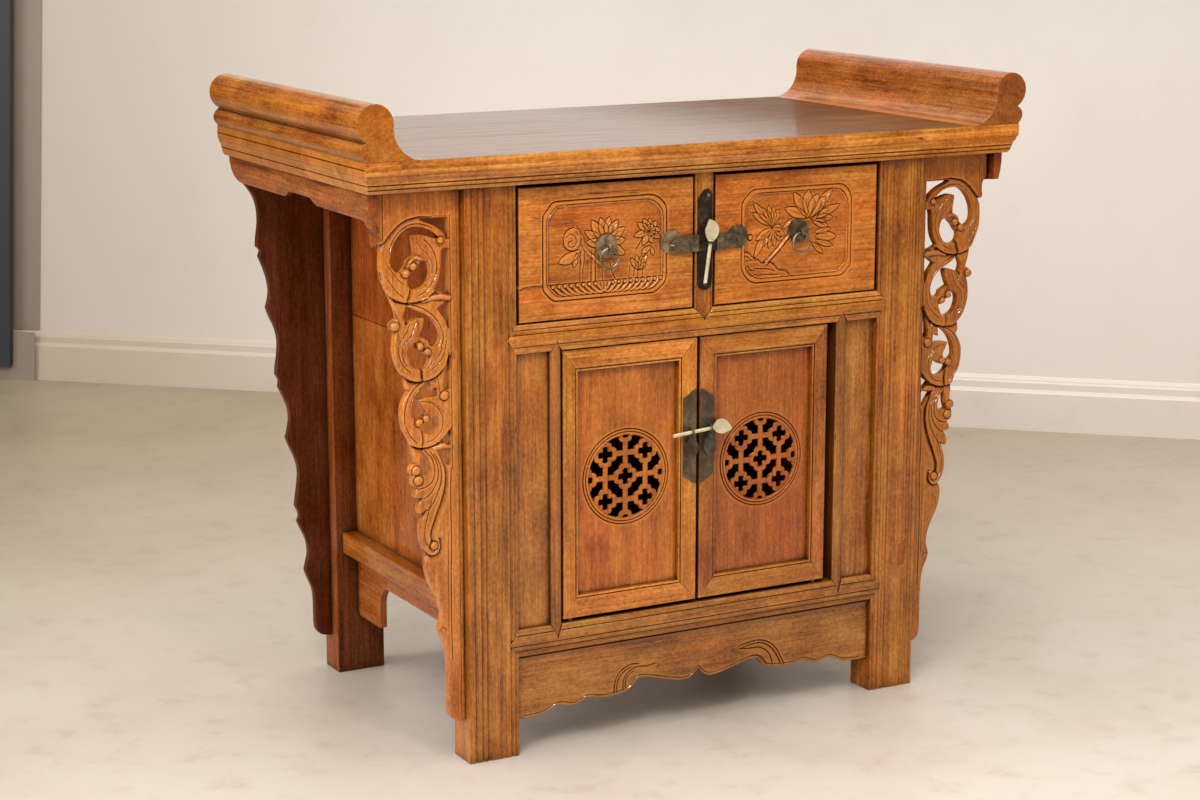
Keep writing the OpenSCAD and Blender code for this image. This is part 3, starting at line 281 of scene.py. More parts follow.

# %% [markdown]
# ## Varnish
# The varnish is a clear coat over a dull wood. It is drawn as if brushed on: its skin
# waves gently, which breaks up the reflections, and it is dull where the piece is shut
# in. Some boards need more: painted shade on the faces that look one way, painted light
# on the back legs' outer sides, painted shade above a height, where a second board begins,
# or a shine that fades along the top, where the photograph shows it fading.

# %% The wood material
def wood(name, seen, grain, pith, seed, figure=1.0, rough=0.34, coat=1.0, stains=0.5, contrast=0.85,
         waves=1.0, scoring=0.86, face_shading=(), above=None, polish=None):
    """face_shading: (axis, sign, tint) paints shade on faces that look one way, and light where the tint is
    over 1. above: (axis, mm, tint) paints shade above a height, where a second board begins. polish:
    (from, to) in m along X, where the shine fades."""
    dark, _, _, gold, pale = tones = wood_tones(seen, coat)
    material, tree = new_material(name)
    patterns = board_patterns(tree, grain_space(tree, grain, seed), seed, pith)
    where = add_node(tree, "SeparateXYZ", {0: add_node(tree, "TexCoord", out="Object")}, out=None).outputs
    look = add_node(tree, "SeparateXYZ", {0: add_node(tree, "NewGeometry", out="Normal")}, out=None).outputs
    colour = board_colour(tree, patterns, tones, look["XYZ".index(grain)], figure, contrast)
    # Painted shade above a height, where a second board begins.
    if above:
        axis, level, tint = above
        board = {0: where[axis], 1: level * MM - 0.0003, 2: level * MM + 0.0003}
        board = add_node(tree, "MapRange", board, **SOFT)
        colour = add_node(tree, "Mix", {0: board, 6: colour, 7: tint + (1.0,)}, **TINT)
    # Painted shade on faces that look one way; on the back legs' outer sides, painted light.
    for axis, sign, tint in face_shading:
        turned = add_node(tree, "Math", {0: look[axis], 1: sign}, operation="MULTIPLY")
        turned = add_node(tree, "MapRange", {0: turned, 1: 0.72, 2: 0.95}, **SOFT)
        colour = add_node(tree, "Mix", {0: turned, 6: colour, 7: tint + (1.0,)}, **TINT)
    colour, pits, crack = stained(tree, colour, patterns, dark, stains)
    colour, deep, hollow_dirt_and_shade = worn(tree, colour, patterns, gold, pale, scoring)
    gloss = add_node(tree, "MapRange", {0: deep, 1: 0.10, 2: 0.60, 3: 0.1}, **SOFT)
    gloss = add_node(tree, "Math", {0: gloss, 1: coat}, operation="MULTIPLY")
    if polish:
        fade = {0: where[0], 1: polish[0], 2: polish[1], 3: 1.0, 4: 0.06}
        fade = add_node(tree, "MapRange", fade, **SOFT)
        gloss = add_node(tree, "Math", {0: fade, 1: gloss}, operation="MULTIPLY")
    dull = {0: patterns["patch"], 1: 0.3, 2: 0.7, 3: rough, 4: rough + 0.14}
    dull = add_node(tree, "MapRange", dull, **SOFT)
    dull = add_node(tree, "Math", {0: hollow_dirt_and_shade, 1: 0.3, 2: dull}, operation="MULTIPLY_ADD")
    fine = add_node(tree, "Math", {0: pits, 1: -1.4, 2: patterns["fibre"]}, operation="MULTIPLY_ADD")
    fine = add_node(tree, "Math", {0: crack, 1: -2.5, 2: fine}, operation="MULTIPLY_ADD")
    bump = add_node(tree, "Bump", {"Strength": 0.5, "Distance": 0.00022, "Height": fine})
    swell = {"Strength": 0.55 * waves, "Distance": 0.0018, "Height": patterns["wave"], "Normal": bump}
    bump = add_node(tree, "Bump", swell)
    skin = {0: patterns["grit"], 1: 0.06, 2: patterns["wave"]}
    skin = add_node(tree, "Math", skin, operation="MULTIPLY_ADD")
    skin = add_node(tree, "Bump", {"Strength": 0.5 * waves, "Distance": 0.0018, "Height": skin})
    shader = add_node(
        tree, "BsdfPrincipled",
        {"Base Color": colour, "Roughness": dull, "Normal": bump, "Coat Weight": gloss,
         "Coat Roughness": 0.09, "Coat IOR": 1.46, "Coat Normal": skin, "IOR": 1.45,
         "Specular IOR Level": 0.12},
    )
    add_node(tree, "OutputMaterial", {"Surface": shader}, out=None)
    return material

# %% [markdown]
# ## Old metal
# The plates, straps and rings are taken to be thin brass and iron, cut by hand. They look
# browned by age, with edges rubbed bright. A cloud of tarnish some 9 to 17 mm wide and
# fine specks of 1 mm vary colour, roughness and height together, so the metal looks
# uneven, not polished.

# %% The metal material
SOOT = "#17120C"


def metal(name, dark, mid, bright, rubbed=0.5, rough=(0.34, 0.55), grain=60.0, metallic=0.65):
    material, tree = new_material(name)
    place = add_node(tree, "TexCoord", out="Object")
    cloud = stretched_noise(tree, place, (grain, grain, grain), 5.0, 0.6)
    speck = stretched_noise(tree, place, (900.0, 900.0, 900.0), 3.0, 0.6)
    tone = add_node(tree, "MapRange", {0: cloud, 1: 0.3, 2: 0.75, 4: 0.7}, **SOFT)
    specks = add_node(tree, "MapRange", {0: speck, 1: 0.35, 2: 0.7}, **SOFT)
    tone = add_node(tree, "Math", {0: specks, 1: 0.3, 2: tone}, operation="MULTIPLY_ADD")
    ramp = add_node(tree, "ValToRGB", {0: tone}, out=None)
    colour = set_stops(ramp, [(0.0, linear(dark)), (0.55, linear(mid)), (1.0, linear(bright))])
    corner = add_node(tree, "AmbientOcclusion", {"Distance": 0.004}, out="AO", samples=4)
    corner = add_node(tree, "MapRange", {0: corner, 1: 0.9, 2: 0.3, 4: 0.75}, **SOFT)
    colour = add_node(tree, "Mix", {0: corner, 6: colour, 7: linear(SOOT)}, **OVER)
    edge = add_node(tree, "AmbientOcclusion", {"Distance": 0.0012}, out="AO", samples=4, inside=True)
    edge = add_node(tree, "MapRange", {0: edge, 1: 0.75, 2: 0.35, 4: rubbed}, **SOFT)
    colour = add_node(tree, "Mix", {0: edge, 6: colour, 7: linear(bright)}, **OVER)
    bump = add_node(tree, "Bump", {"Strength": 0.5, "Distance": 0.0003, "Height": cloud})
    bump = add_node(tree, "Bump", {"Strength": 0.25, "Distance": 0.0001, "Height": speck, "Normal": bump})
    dull = add_node(tree, "MapRange", {0: tone, 1: 0.2, 2: 0.9, 3: rough[1], 4: rough[0]}, **SOFT)
    shader = add_node(
        tree, "BsdfPrincipled",
        {"Base Color": colour, "Metallic": metallic, "Roughness": dull, "Normal": bump},
    )
    add_node(tree, "OutputMaterial", {"Surface": shader}, out=None)
    return material

# %% [markdown]
# ## A finish for every piece
# A maker cuts each board from another part of the log, so each gets its own seed and its
# own pith, and no two carry the same figure. One material for all would be quicker to
# write, but the eye soon finds the same figure twice. Each row holds the seen colour, the
# axis of the grain, the pith in metres from the board and the seed.

# %% Seen colour, grain, pith and seed of every board
WOODS = {
    "top_front_board": ("#C07A3C", "X", (0.02, 0.06), 1.1),
    "top_middle_board": ("#AE6A34", "X", (0.03, 0.12), 2.3),
    "top_back_board": ("#B06C35", "X", (0.01, 0.09), 3.7),
    "flange_left": ("#A66529", "Y", (0.05, 0.03), 4.2),
    "flange_right": ("#9A5B2A", "Y", (0.04, 0.05), 5.9),
    "end_apron_left": ("#9A5826", "Y", (0.04, 0.02), 6.4),
    "end_apron_right": ("#965524", "Y", (0.04, 0.02), 7.8),
    "front_post_left": ("#A9682E", "Z", (0.12, 0.05), 8.1),
    "front_post_right": ("#AC6A2D", "Z", (0.10, 0.07), 9.6),
    # The back legs' fronts are seen in shade, so their colour holds painted shade.
    "back_leg_left": ("#643519", "Z", (0.06, 0.05), 10.3),
    "back_leg_right": ("#643519", "Z", (0.06, 0.05), 11.7),
    "mid_rail": ("#B87838", "X", (0.05, 0.04), 12.2),
    "bottom_rail": ("#A06633", "X", (0.07, 0.05), 13.5),
    "drawer_divider": ("#AE6C30", "Z", (0.05, 0.05), 14.9),
    "door_jambs": ("#9A602B", "Z", (0.05, 0.06), 15.1),
    "front_side_panels": ("#A86A35", "Z", (0.02, 0.09), 16.6),
    "front_apron": ("#9E6532", "X", (0.02, 0.08), 17.3),
    "front_spandrel_left": ("#C0763A", "Z", (0.03, 0.09), 18.8),
    "front_spandrel_right": ("#AC682F", "Z", (0.03, 0.08), 19.4),
    # The back spandrels' dark colour is dark stain and painted shade.
    "back_spandrels": ("#562B16", "Z", (0.02, 0.08), 20.1),
    "side_panel_left": ("#A05A28", "Z", (0.09, 0.03), 21.9),
    "side_panel_right": ("#A05A28", "Z", (0.08, 0.03), 22.2),
    "side_rail_left": ("#9C5A2A", "Y", (0.04, 0.04), 23.6),
    "side_rail_right": ("#9C5A2A", "Y", (0.04, 0.04), 24.8),
    "side_top_rails": ("#84461F", "Y", (0.04, 0.04), 25.0),
    "side_apron_left": ("#A05B32", "Y", (0.05, 0.03), 26.4),
    "side_apron_right": ("#A05B32", "Y", (0.05, 0.03), 27.1),
    "top_battens": ("#5A2E16", "Y", (0.04, 0.03), 28.5),
    "back_rails": ("#6A3A1C", "X", (0.04, 0.03), 29.2),
    "back_panels": ("#62351A", "Z", (0.05, 0.03), 30.7),
    "floor_board": ("#6A3A1C", "X", (0.02, 0.05), 31.3),
    "drawer_runners": ("#8E6A42", "Y", (0.04, 0.03), 32.9),
    "drawer_guides": ("#8E6A42", "Y", (0.04, 0.03), 33.4),
    "left_drawer_front": ("#C0763A", "X", (0.02, 0.09), 34.8),
    "right_drawer_front": ("#C07235", "X", (0.02, 0.08), 35.5),
    "left_drawer_sides": ("#A98353", "Y", (0.04, 0.05), 36.1),
    "right_drawer_sides": ("#A98353", "Y", (0.04, 0.05), 37.6),
    "left_drawer_bottom": ("#A98353", "X", (0.04, 0.05), 38.2),
    "right_drawer_bottom": ("#A98353", "X", (0.04, 0.05), 39.9),
    "left_door_stiles": ("#BC7635", "Z", (0.05, 0.06), 40.4),
    "right_door_stiles": ("#AC6531", "Z", (0.05, 0.06), 41.8),
    "left_door_rails": ("#CA813E", "X", (0.05, 0.06), 42.3),
    "right_door_rails": ("#B26E34", "X", (0.05, 0.06), 43.7),
    "left_door_panel": ("#B76B32", "Z", (0.02, 0.09), 44.2),
    "right_door_panel": ("#AA602D", "Z", (0.02, 0.10), 45.6),
}

# %% [markdown]
# ## Where boards differ
# The bands stand out more on posts, rails and legs. The drawer boxes and the inside
# aren't seen, and are taken to be unvarnished, as is usual. The sides and the back show
# less shine. The last table holds what single boards need beside that.

# %% What single boards need
STREAKED = ("front_post_left", "front_post_right", "mid_rail", "bottom_rail", "door_jambs", "flange_left",
            "flange_right", "back_leg_left", "back_leg_right", "top_front_board", "drawer_divider")
UNLACQUERED = ("drawer_runners", "drawer_guides", "left_drawer_sides", "right_drawer_sides",
               "left_drawer_bottom", "right_drawer_bottom", "back_rails", "back_panels", "floor_board")
SHEEN = {"back_spandrels": 0.15, "back_leg_left": 0.2, "back_leg_right": 0.2, "side_panel_left": 0.4,
         "side_panel_right": 0.4, "side_rail_left": 0.6, "side_rail_right": 0.6, "side_apron_left": 0.6,
         "side_apron_right": 0.6}
SHADED_TOP = ((2, 1, (0.25, 0.25, 0.27)),)
EXTRA = {
    "top_front_board": {"face_shading": SHADED_TOP, "polish": (-0.05, 0.36), "waves": 0.8},
    "top_middle_board": {"face_shading": SHADED_TOP, "polish": (-0.05, 0.36), "waves": 0.8},
    "top_back_board": {"face_shading": SHADED_TOP, "polish": (-0.05, 0.36), "waves": 0.8},
    # Painted shade and dirt on the jambs' sides that look left.
    "door_jambs": {"face_shading": ((0, -1, (0.50, 0.42, 0.36)),)},
    "left_door_panel": {"contrast": 0.72},
    "right_door_panel": {"contrast": 0.72},
    "left_drawer_front": {"contrast": 0.85, "scoring": 0.58, "stains": 0.7},
    "right_drawer_front": {"contrast": 0.85, "scoring": 0.58, "stains": 0.7},
    "front_spandrel_left": {"contrast": 0.75},
    "front_spandrel_right": {"contrast": 0.75},
    "flange_left": {"contrast": 1.0},
    "flange_right": {"contrast": 1.0},
    "end_apron_left": {"contrast": 1.2, "stains": 0.9},
    "front_apron": {"contrast": 1.0},
    # Painted shade on the side panels above 556 mm, behind the spandrels.
    "side_panel_left": {"above": (2, 556.0, (0.80, 0.66, 0.60))},
    "side_panel_right": {"above": (2, 556.0, (0.80, 0.66, 0.60))},
    # The back legs' seen colour is that of their fronts in shade, and their outer sides are painted about
    # twice as light: painted shade and light.
    "back_leg_left": {"face_shading": ((0, -1, (1.9, 2.0, 2.2)),)},
    "back_leg_right": {"face_shading": ((0, 1, (1.9, 2.0, 2.2)),)},
}

# %% Riding on the CAD's bodies
BODY_OF = {node: body for body, nodes in frame["record"]["behaviour"]["bodies"].items() for node in nodes}


def stands_for(item, node_name):
    """The piece takes over from a CAD node: it rides on that node's body, and the node is hidden."""
    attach(item, BODY_OF[node_name])
    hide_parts(node_name)


# %% [markdown]
# ## The boards' and the metal's finishes
# Bare boards are rougher and have next to no coat. The plates, straps and drops are aged
# brass and iron: each takes a dark, a middle and a bright colour. The rings' wire is the
# brightest, as handles are, and the pins and leaf heads are a pale, dull brass.

# %% Give the CAD pieces their materials
MATERIALS = {}
for node_name, (seen, grain, pith, seed) in WOODS.items():
    bare = node_name in UNLACQUERED
    MATERIALS[node_name] = wood(
        "wood_" + node_name, seen, grain, pith, seed,
        figure=1.4 if node_name in STREAKED else 0.8, rough=0.6 if bare else 0.34,
        coat=0.1 if bare else SHEEN.get(node_name, 1.0), **EXTRA.get(node_name, {}),
    )
METALS = {
    "drawer_lock_plate": metal("lock_iron", "#17130F", "#362B20", "#6A5C48"),
    "left_drawer_plates": metal("ring_brass_left", "#54422E", "#A68A69", "#D2B894", grain=110.0),
    "right_drawer_plates": metal("ring_brass_right", "#33281C", "#735E44", "#A99170", grain=110.0),
    "left_hasp": metal("strap_left", "#3A2F23", "#76634B", "#A08C70", grain=90.0),
    "right_hasp": metal("strap_right", "#3A2F23", "#766450", "#A39073", grain=90.0),
    "left_door_plate": metal("door_plate_left", "#473A2B", "#6E5C46", "#9A8666"),
    "right_door_plate": metal("door_plate_right", "#43372B", "#695846", "#958264"),
    "left_drop": metal("drop_left", "#2E261C", "#5E5240", "#8C8068"),
    "right_drop": metal("drop_right", "#2E2920", "#5C5444", "#8A816C"),
}
wire = metal("ring_wire", "#4A4132", "#96896F", "#E0D6BC", rough=(0.20, 0.36), metallic=0.85)
pale = metal("pale_brass", "#C8B88F", "#E4D6AF", "#F6EDD0", rubbed=0.3, rough=(0.28, 0.4), metallic=0.3)
for node_name in frame["nodes"]:
    if node_name not in MATERIALS:
        MATERIALS[node_name] = METALS.get(node_name, pale if "pin" in node_name.split("_") else wire)
for node_name, piece in frame["nodes"].items():
    piece.data.materials.clear()
    piece.data.materials.append(MATERIALS[node_name])
print("materials:", len(MATERIALS))

# %% [markdown]
# ## Carving
# A carver leaves the board's outline alone and cuts into its face with gouges. The
# carving could be painted as a bump, but bump casts no shadow and is lost in the meshes
# that are kept. So a carved board is a mesh: it keeps the outline of its CAD piece, its
# front is filled with points, and every stroke pushes them in or out.

# %% Reading a CAD board's face
def face_loops(node_name, axis=1):
    """The closed outlines of a board's front face, in mm: first the outer one, then its holes."""
    mesh = frame["nodes"][node_name].data
    places = np.array([v.co for v in mesh.vertices]) / MM
    level = places[:, axis].min()
    on_face = np.abs(places[:, axis] - level) < 0.01
    count = {}
    for polygon in mesh.polygons:
        if all(on_face[i] for i in polygon.vertices):
            for a, b in polygon.edge_keys:
                key = tuple(sorted((tuple(np.round(places[a], 3)), tuple(np.round(places[b], 3)))))
                count[key] = count.get(key, 0) + 1
    follow = {}
    for (a, b), uses in count.items():
        if uses == 1:
            follow.setdefault(a, []).append(b)
            follow.setdefault(b, []).append(a)
    keep = [k for k in range(3) if k != axis]
    loops, done = [], set()
    for start in follow:
        if start in done:
            continue
        loop, here, last = [], start, None
        while here not in done:
            done.add(here)
            loop.append([here[k] for k in keep])
            onward = [p for p in follow[here] if p != last and p not in done]
            if not onward:
                break
            last, here = here, onward[0]
        loops.append(np.array(loop))
    loops.sort(key=lambda pts: -np.ptp(pts[:, 0]) * np.ptp(pts[:, 1]))
    return loops, level

# %% [markdown]
# ## Lines on a board
# The carver's lines are given as a few points and made smooth between them. To
# know how deep a place is cut, its distance from each line is measured, and so is its
# side.

# %% Lines, distances and insides
def spaced(points, step, closed=False):
    """A line's points at even spacing; sharp corners stay."""
    points = np.asarray(points, float)
    if closed:
        points = np.vstack([points, points[:1]])
    rows = []
    for a, b in zip(points[:-1], points[1:]):
        n = max(1, int(round(np.linalg.norm(b - a) / step)))
        rows.append(a + (b - a) * (np.arange(n) / n)[:, None])
    if not closed:
        rows.append(points[-1:])
    return np.vstack(rows)


def curve(points, step=1.5):
    """A smooth line through given points."""
    points = np.asarray(points, float)
    if len(points) < 3:
        return spaced(points, step)
    padded = np.vstack([2 * points[0] - points[1], points, 2 * points[-1] - points[-2]])
    rows = []
    for k in range(1, len(padded) - 2):
        p0, p1, p2, p3 = padded[k - 1 : k + 3]
        n = max(2, int(np.linalg.norm(p2 - p1) / step))
        t = (np.arange(n) / n)[:, None]
        rows.append(0.5 * (2 * p1 + (p2 - p0) * t + (2 * p0 - 5 * p1 + 4 * p2 - p3) * t**2
                           + (3 * p1 - p0 - 3 * p2 + p3) * t**3))
    rows.append(points[-1:])
    return np.vstack(rows)


def away(places, line, closed=False):
    """Distance of places from a line, and the side that they lie on."""
    line = np.asarray(line, float)
    a, b = (line, np.roll(line, -1, axis=0)) if closed else (line[:-1], line[1:])
    ab = b - a
    length = np.maximum((ab**2).sum(1), 1e-9)
    best = np.full(len(places), 1e9)
    side = np.zeros(len(places))
    for k in range(0, len(places), 4000):
        part = places[k : k + 4000, None, :]
        t = np.clip(((part - a) * ab).sum(2) / length, 0, 1)
        gap = part - (a + ab * t[..., None])
        far = np.hypot(gap[..., 0], gap[..., 1])
        nearest = far.argmin(1)
        row = np.arange(len(nearest))
        best[k : k + 4000] = far[row, nearest]
        turn = ab[nearest, 0] * gap[row, nearest, 1] - ab[nearest, 1] * gap[row, nearest, 0]
        side[k : k + 4000] = np.sign(turn)
    return best, side


def rim_gap(places, loops):
    """How far places lie from the nearest outline."""
    gap = np.full(len(places), 1e9)
    for loop in loops:
        gap = np.minimum(gap, away(places, loop, closed=True)[0])
    return gap


def inside(places, loops):
    """Whether places lie in an outline and outside its holes."""
    odd = np.zeros(len(places), bool)
    for loop in loops:
        a, b = loop, np.roll(loop, -1, axis=0)
        for k in range(0, len(places), 8000):
            x = places[k : k + 8000, None, 0]
            y = places[k : k + 8000, None, 1]
            spans = (a[:, 1] > y) != (b[:, 1] > y)
            with np.errstate(divide="ignore", invalid="ignore"):
                cross = a[:, 0] + (y - a[:, 1]) * (b[:, 0] - a[:, 0]) / (b[:, 1] - a[:, 1])
            odd[k : k + 8000] ^= (spans & (x < cross)).sum(1) % 2 == 1
    return odd

# %% [markdown]
# ## The strokes of the carver
# A carver's few cuts make up every flower here: a V groove, a ground that drops from a
# line and rises again, a round ridge, a ball with a ring cut round it, and a dome that
# swells inside an outline. Each is kept as a row of the same five values: its kind, its
# line, its width, its depth or height, and for a drop a place on its low side.

# %% The strokes of the carver
def groove(line, wide, deep):
    return ("groove", np.asarray(line, float), wide, deep, None)


def step_down(line, toward, wide, deep):
    """The ground drops at the line and comes back up towards the place given."""
    return ("step", np.asarray(line, float), wide, deep, toward)


def ridge(line, wide, high):
    return ("ridge", np.asarray(line, float), wide, high, None)


def ball(x, y, r, high):
    return ("ball", np.array([[x, y]], float), r, high, None)


def dome(outline, wide, high):
    """Everything inside a closed outline swells up from its edge."""
    return ("dome", np.asarray(outline, float), wide, high, None)


def carved_height(places, strokes):
    """How far each place stands proud of the board's face."""
    height = np.zeros(len(places))
    for kind, line, wide, size, toward in strokes:
        low, high = line.min(0) - wide * 1.6, line.max(0) + wide * 1.6
        near = np.nonzero(((places > low) & (places < high)).all(1))[0]
        if not len(near):
            continue
        spots = places[near]
        if kind == "ball":
            far = np.hypot(*(spots - line[0]).T)
            rise = np.sqrt(np.clip(1 - (far / wide) ** 2, 0, 1)) * size
            ring = np.clip(1 - np.abs(far - wide - 0.5) / 1.3, 0, 1)
            height[near] = np.where(far < wide, np.maximum(height[near], 0) * 0.2 + rise, height[near] - ring)
            continue
        far, side = away(spots, line, closed=kind == "dome")
        if kind == "groove":
            height[near] -= np.clip(1 - far / wide, 0, 1) * size
        elif kind == "ridge":
            height[near] += np.clip(1 - (far / wide) ** 2, 0, 1) * size
        elif kind == "step":
            drop = np.clip(1 - far / wide, 0, 1) ** 1.6 * size
            downhill = away(np.array([toward], float), line)[1][0]
            height[near] -= np.where(side == downhill, drop, 0)
        elif kind == "dome":
            rise = np.sqrt(np.clip(1 - (1 - np.clip(far / wide, 0, 1)) ** 2, 0, 1)) * size
            height[near] += np.where(inside(spots, [line]), rise, 0)
    return height

# %% [markdown]
# ## Points where the carving needs them
# An even net of points would have to be very fine to hold a crisp groove. Here a coarser
# net fills the face, and more points lie along every stroke, round every ball and close
# to every edge. Points that nearly coincide are thinned out, and triangles join the rest.

# %% Points on a carved face
BALL_RINGS = ((0.0, 1), (0.35, 6), (0.7, 10), (0.92, 14), (1.05, 16), (1.4, 16))
LINES_ALONG = {"groove": (-1, 0, 1), "ridge": (-1, -0.5, 0, 0.5, 1), "step": (-0.3, 0.3), "dome": (0.0,)}
CLOSEST = 0.55


def sideways(along):
    """Unit directions at right angles to the ones given."""
    across = np.stack([-along[:, 1], along[:, 0]], 1)
    return across / np.maximum(np.linalg.norm(across, axis=1), 1e-6)[:, None]


def net_points(low, high, step):
    """Staggered rows of points, each nudged a little so that no row shows."""
    xs = np.arange(low[0], high[0], step)
    ys = np.arange(low[1], high[1], step * 0.866)
    grid = np.stack(np.meshgrid(xs, ys), -1)
    grid[1::2, :, 0] += step / 2
    rng = np.random.default_rng(7)
    return grid.reshape(-1, 2) + rng.uniform(-0.12, 0.12, (grid.size // 2, 2)) * step


def stroke_points(strokes):
    rows = []
    for kind, line, wide, size, toward in strokes:
        if kind == "ball":
            for share, n in BALL_RINGS:
                turn = np.arange(n) * 2 * math.pi / n
                rows.append(line[0] + wide * share * np.stack([np.cos(turn), np.sin(turn)], 1))
            continue
        even = spaced(line, 1.4, closed=kind == "dome")
        across = sideways(np.gradient(even, axis=0))
        reach = 1.0 if kind == "step" else wide
        rows += [even + across * share * reach for share in LINES_ALONG[kind]]
    return rows


def lip_points(loops, rim):
    """Two rows of points close inside every outline, where the edge is rounded."""
    lip, wanted = [], []
    for offset in (0.35, 0.8):
        for loop in loops:
            across = sideways(np.roll(loop, -1, axis=0) - np.roll(loop, 1, axis=0))
            for sign in (-1, 1):
                lip.append(loop + across * sign * offset * rim)
                wanted.append(np.full(len(loop), offset * rim))
    lip, wanted = np.vstack(lip), np.concatenate(wanted)
    keep = inside(lip, loops)
    lip, wanted = lip[keep], wanted[keep]
    return lip[rim_gap(lip, loops) > wanted * 0.8]


def face_points(loops, strokes, step, rim):
    rows = [net_points(loops[0].min(0), loops[0].max(0), step)] + stroke_points(strokes)
    fill = np.vstack(rows)
    fill = fill[inside(fill, loops)]
    fill = fill[rim_gap(fill, loops) > 0.75 * step]
    fill = np.vstack([lip_points(loops, rim), fill])
    _, first = np.unique(np.round(fill / CLOSEST).astype(int), axis=0, return_index=True)
    return fill[first]


def joined(loops, points):
    """Triangles between all points; every outline stays as edges."""
    edges, at = [], 0
    for loop in loops:
        edges += [(at + k, at + (k + 1) % len(loop)) for k in range(len(loop))]
        at += len(loop)
    found = delaunay_2d_cdt([Vector(p) for p in np.vstack(loops + [points])], edges, [], 0, 1e-5)
    flat = np.array([tuple(v) for v in found[0]])
    tris = np.array([tri for tri in found[2] if len(tri) == 3])
    return flat, tris[inside(flat[tris].mean(1), loops)]

# %% [markdown]
# ## From points to a board
# The front takes the carved height, rounded off towards every edge and a little uneven,
# as hand-planed wood is. Walls run from its border to a flat back, which needs only the
# border's points. Two marks go with every point for the wood material: "relief" tells how
# far it lies above or below the points round it, and "sunk" how far below the face.

# %% Build a carved board
def new_object(name, mesh, material, sharp=35.0):
    """A smooth object, but for edges that are sharper than the angle given."""
    for polygon in mesh.polygons:
        polygon.use_smooth = True
    mesh.set_sharp_from_angle(angle=math.radians(sharp))
    mesh.materials.append(material)
    item = bpy.data.objects.new(name, mesh)
    bpy.context.scene.collection.objects.link(item)
    return item


def eased(values, pairs, rounds):
    """Each value drawn towards its neighbours' mean, several times over."""
    for _ in range(rounds):
        total, count = values.copy(), np.ones(len(values))
        np.add.at(total, pairs[:, 0], values[pairs[:, 1]])
        np.add.at(count, pairs[:, 0], 1)
        values = total / count
    return values


def back_triangles(spots, loops):
    """Flat triangles for the back of a board, between its border points only."""
    edges = []
    for loop in loops:
        ring = [int(np.hypot(*(spots - p).T).argmin()) for p in loop]
        edges += [(a, b) for a, b in zip(ring, ring[1:] + ring[:1]) if a != b]
    found = delaunay_2d_cdt([Vector(p) for p in spots], edges, [], 0, 1e-5)
    tris = np.array([tri for tri in found[2] if len(tri) == 3])
    origin = {new: olds[0] for new, olds in enumerate(found[3]) if len(olds)}
    middle = np.array([tuple(v) for v in found[0]])[tris].mean(1)
    keep = inside(middle, loops)
    return [tuple(origin[i] for i in tri) for tri in tris[keep] if all(i in origin for i in tri)]


def uneven(p, seed, wobble):
    """The slow waves and small dips that a hand plane leaves."""
    return (wobble * noise.noise((p[0] * 0.035 + seed, p[1] * 0.035, seed)) * 2
            + wobble * noise.noise((p[0] * 0.14, p[1] * 0.14 + seed, seed)))


def board_mesh(name, front_places, back_places, faces, marks):
    """A mesh whose faces all look outward, with its marks at every point."""
    mesh = bpy.data.meshes.new(name)
    mesh.from_pydata(np.vstack([front_places, back_places]).tolist(), [], faces)
    mesh.validate()
    bm = bmesh.new()
    bm.from_mesh(mesh)
    bmesh.ops.recalc_face_normals(bm, faces=bm.faces)
    bm.to_mesh(mesh)
    bm.free()
    for label, values in marks.items():
        mark = mesh.attributes.new(label, "FLOAT", "POINT")
        values = np.concatenate([values, np.zeros(len(back_places))])
        mark.data.foreach_set("value", values.astype(np.float32))
    return mesh


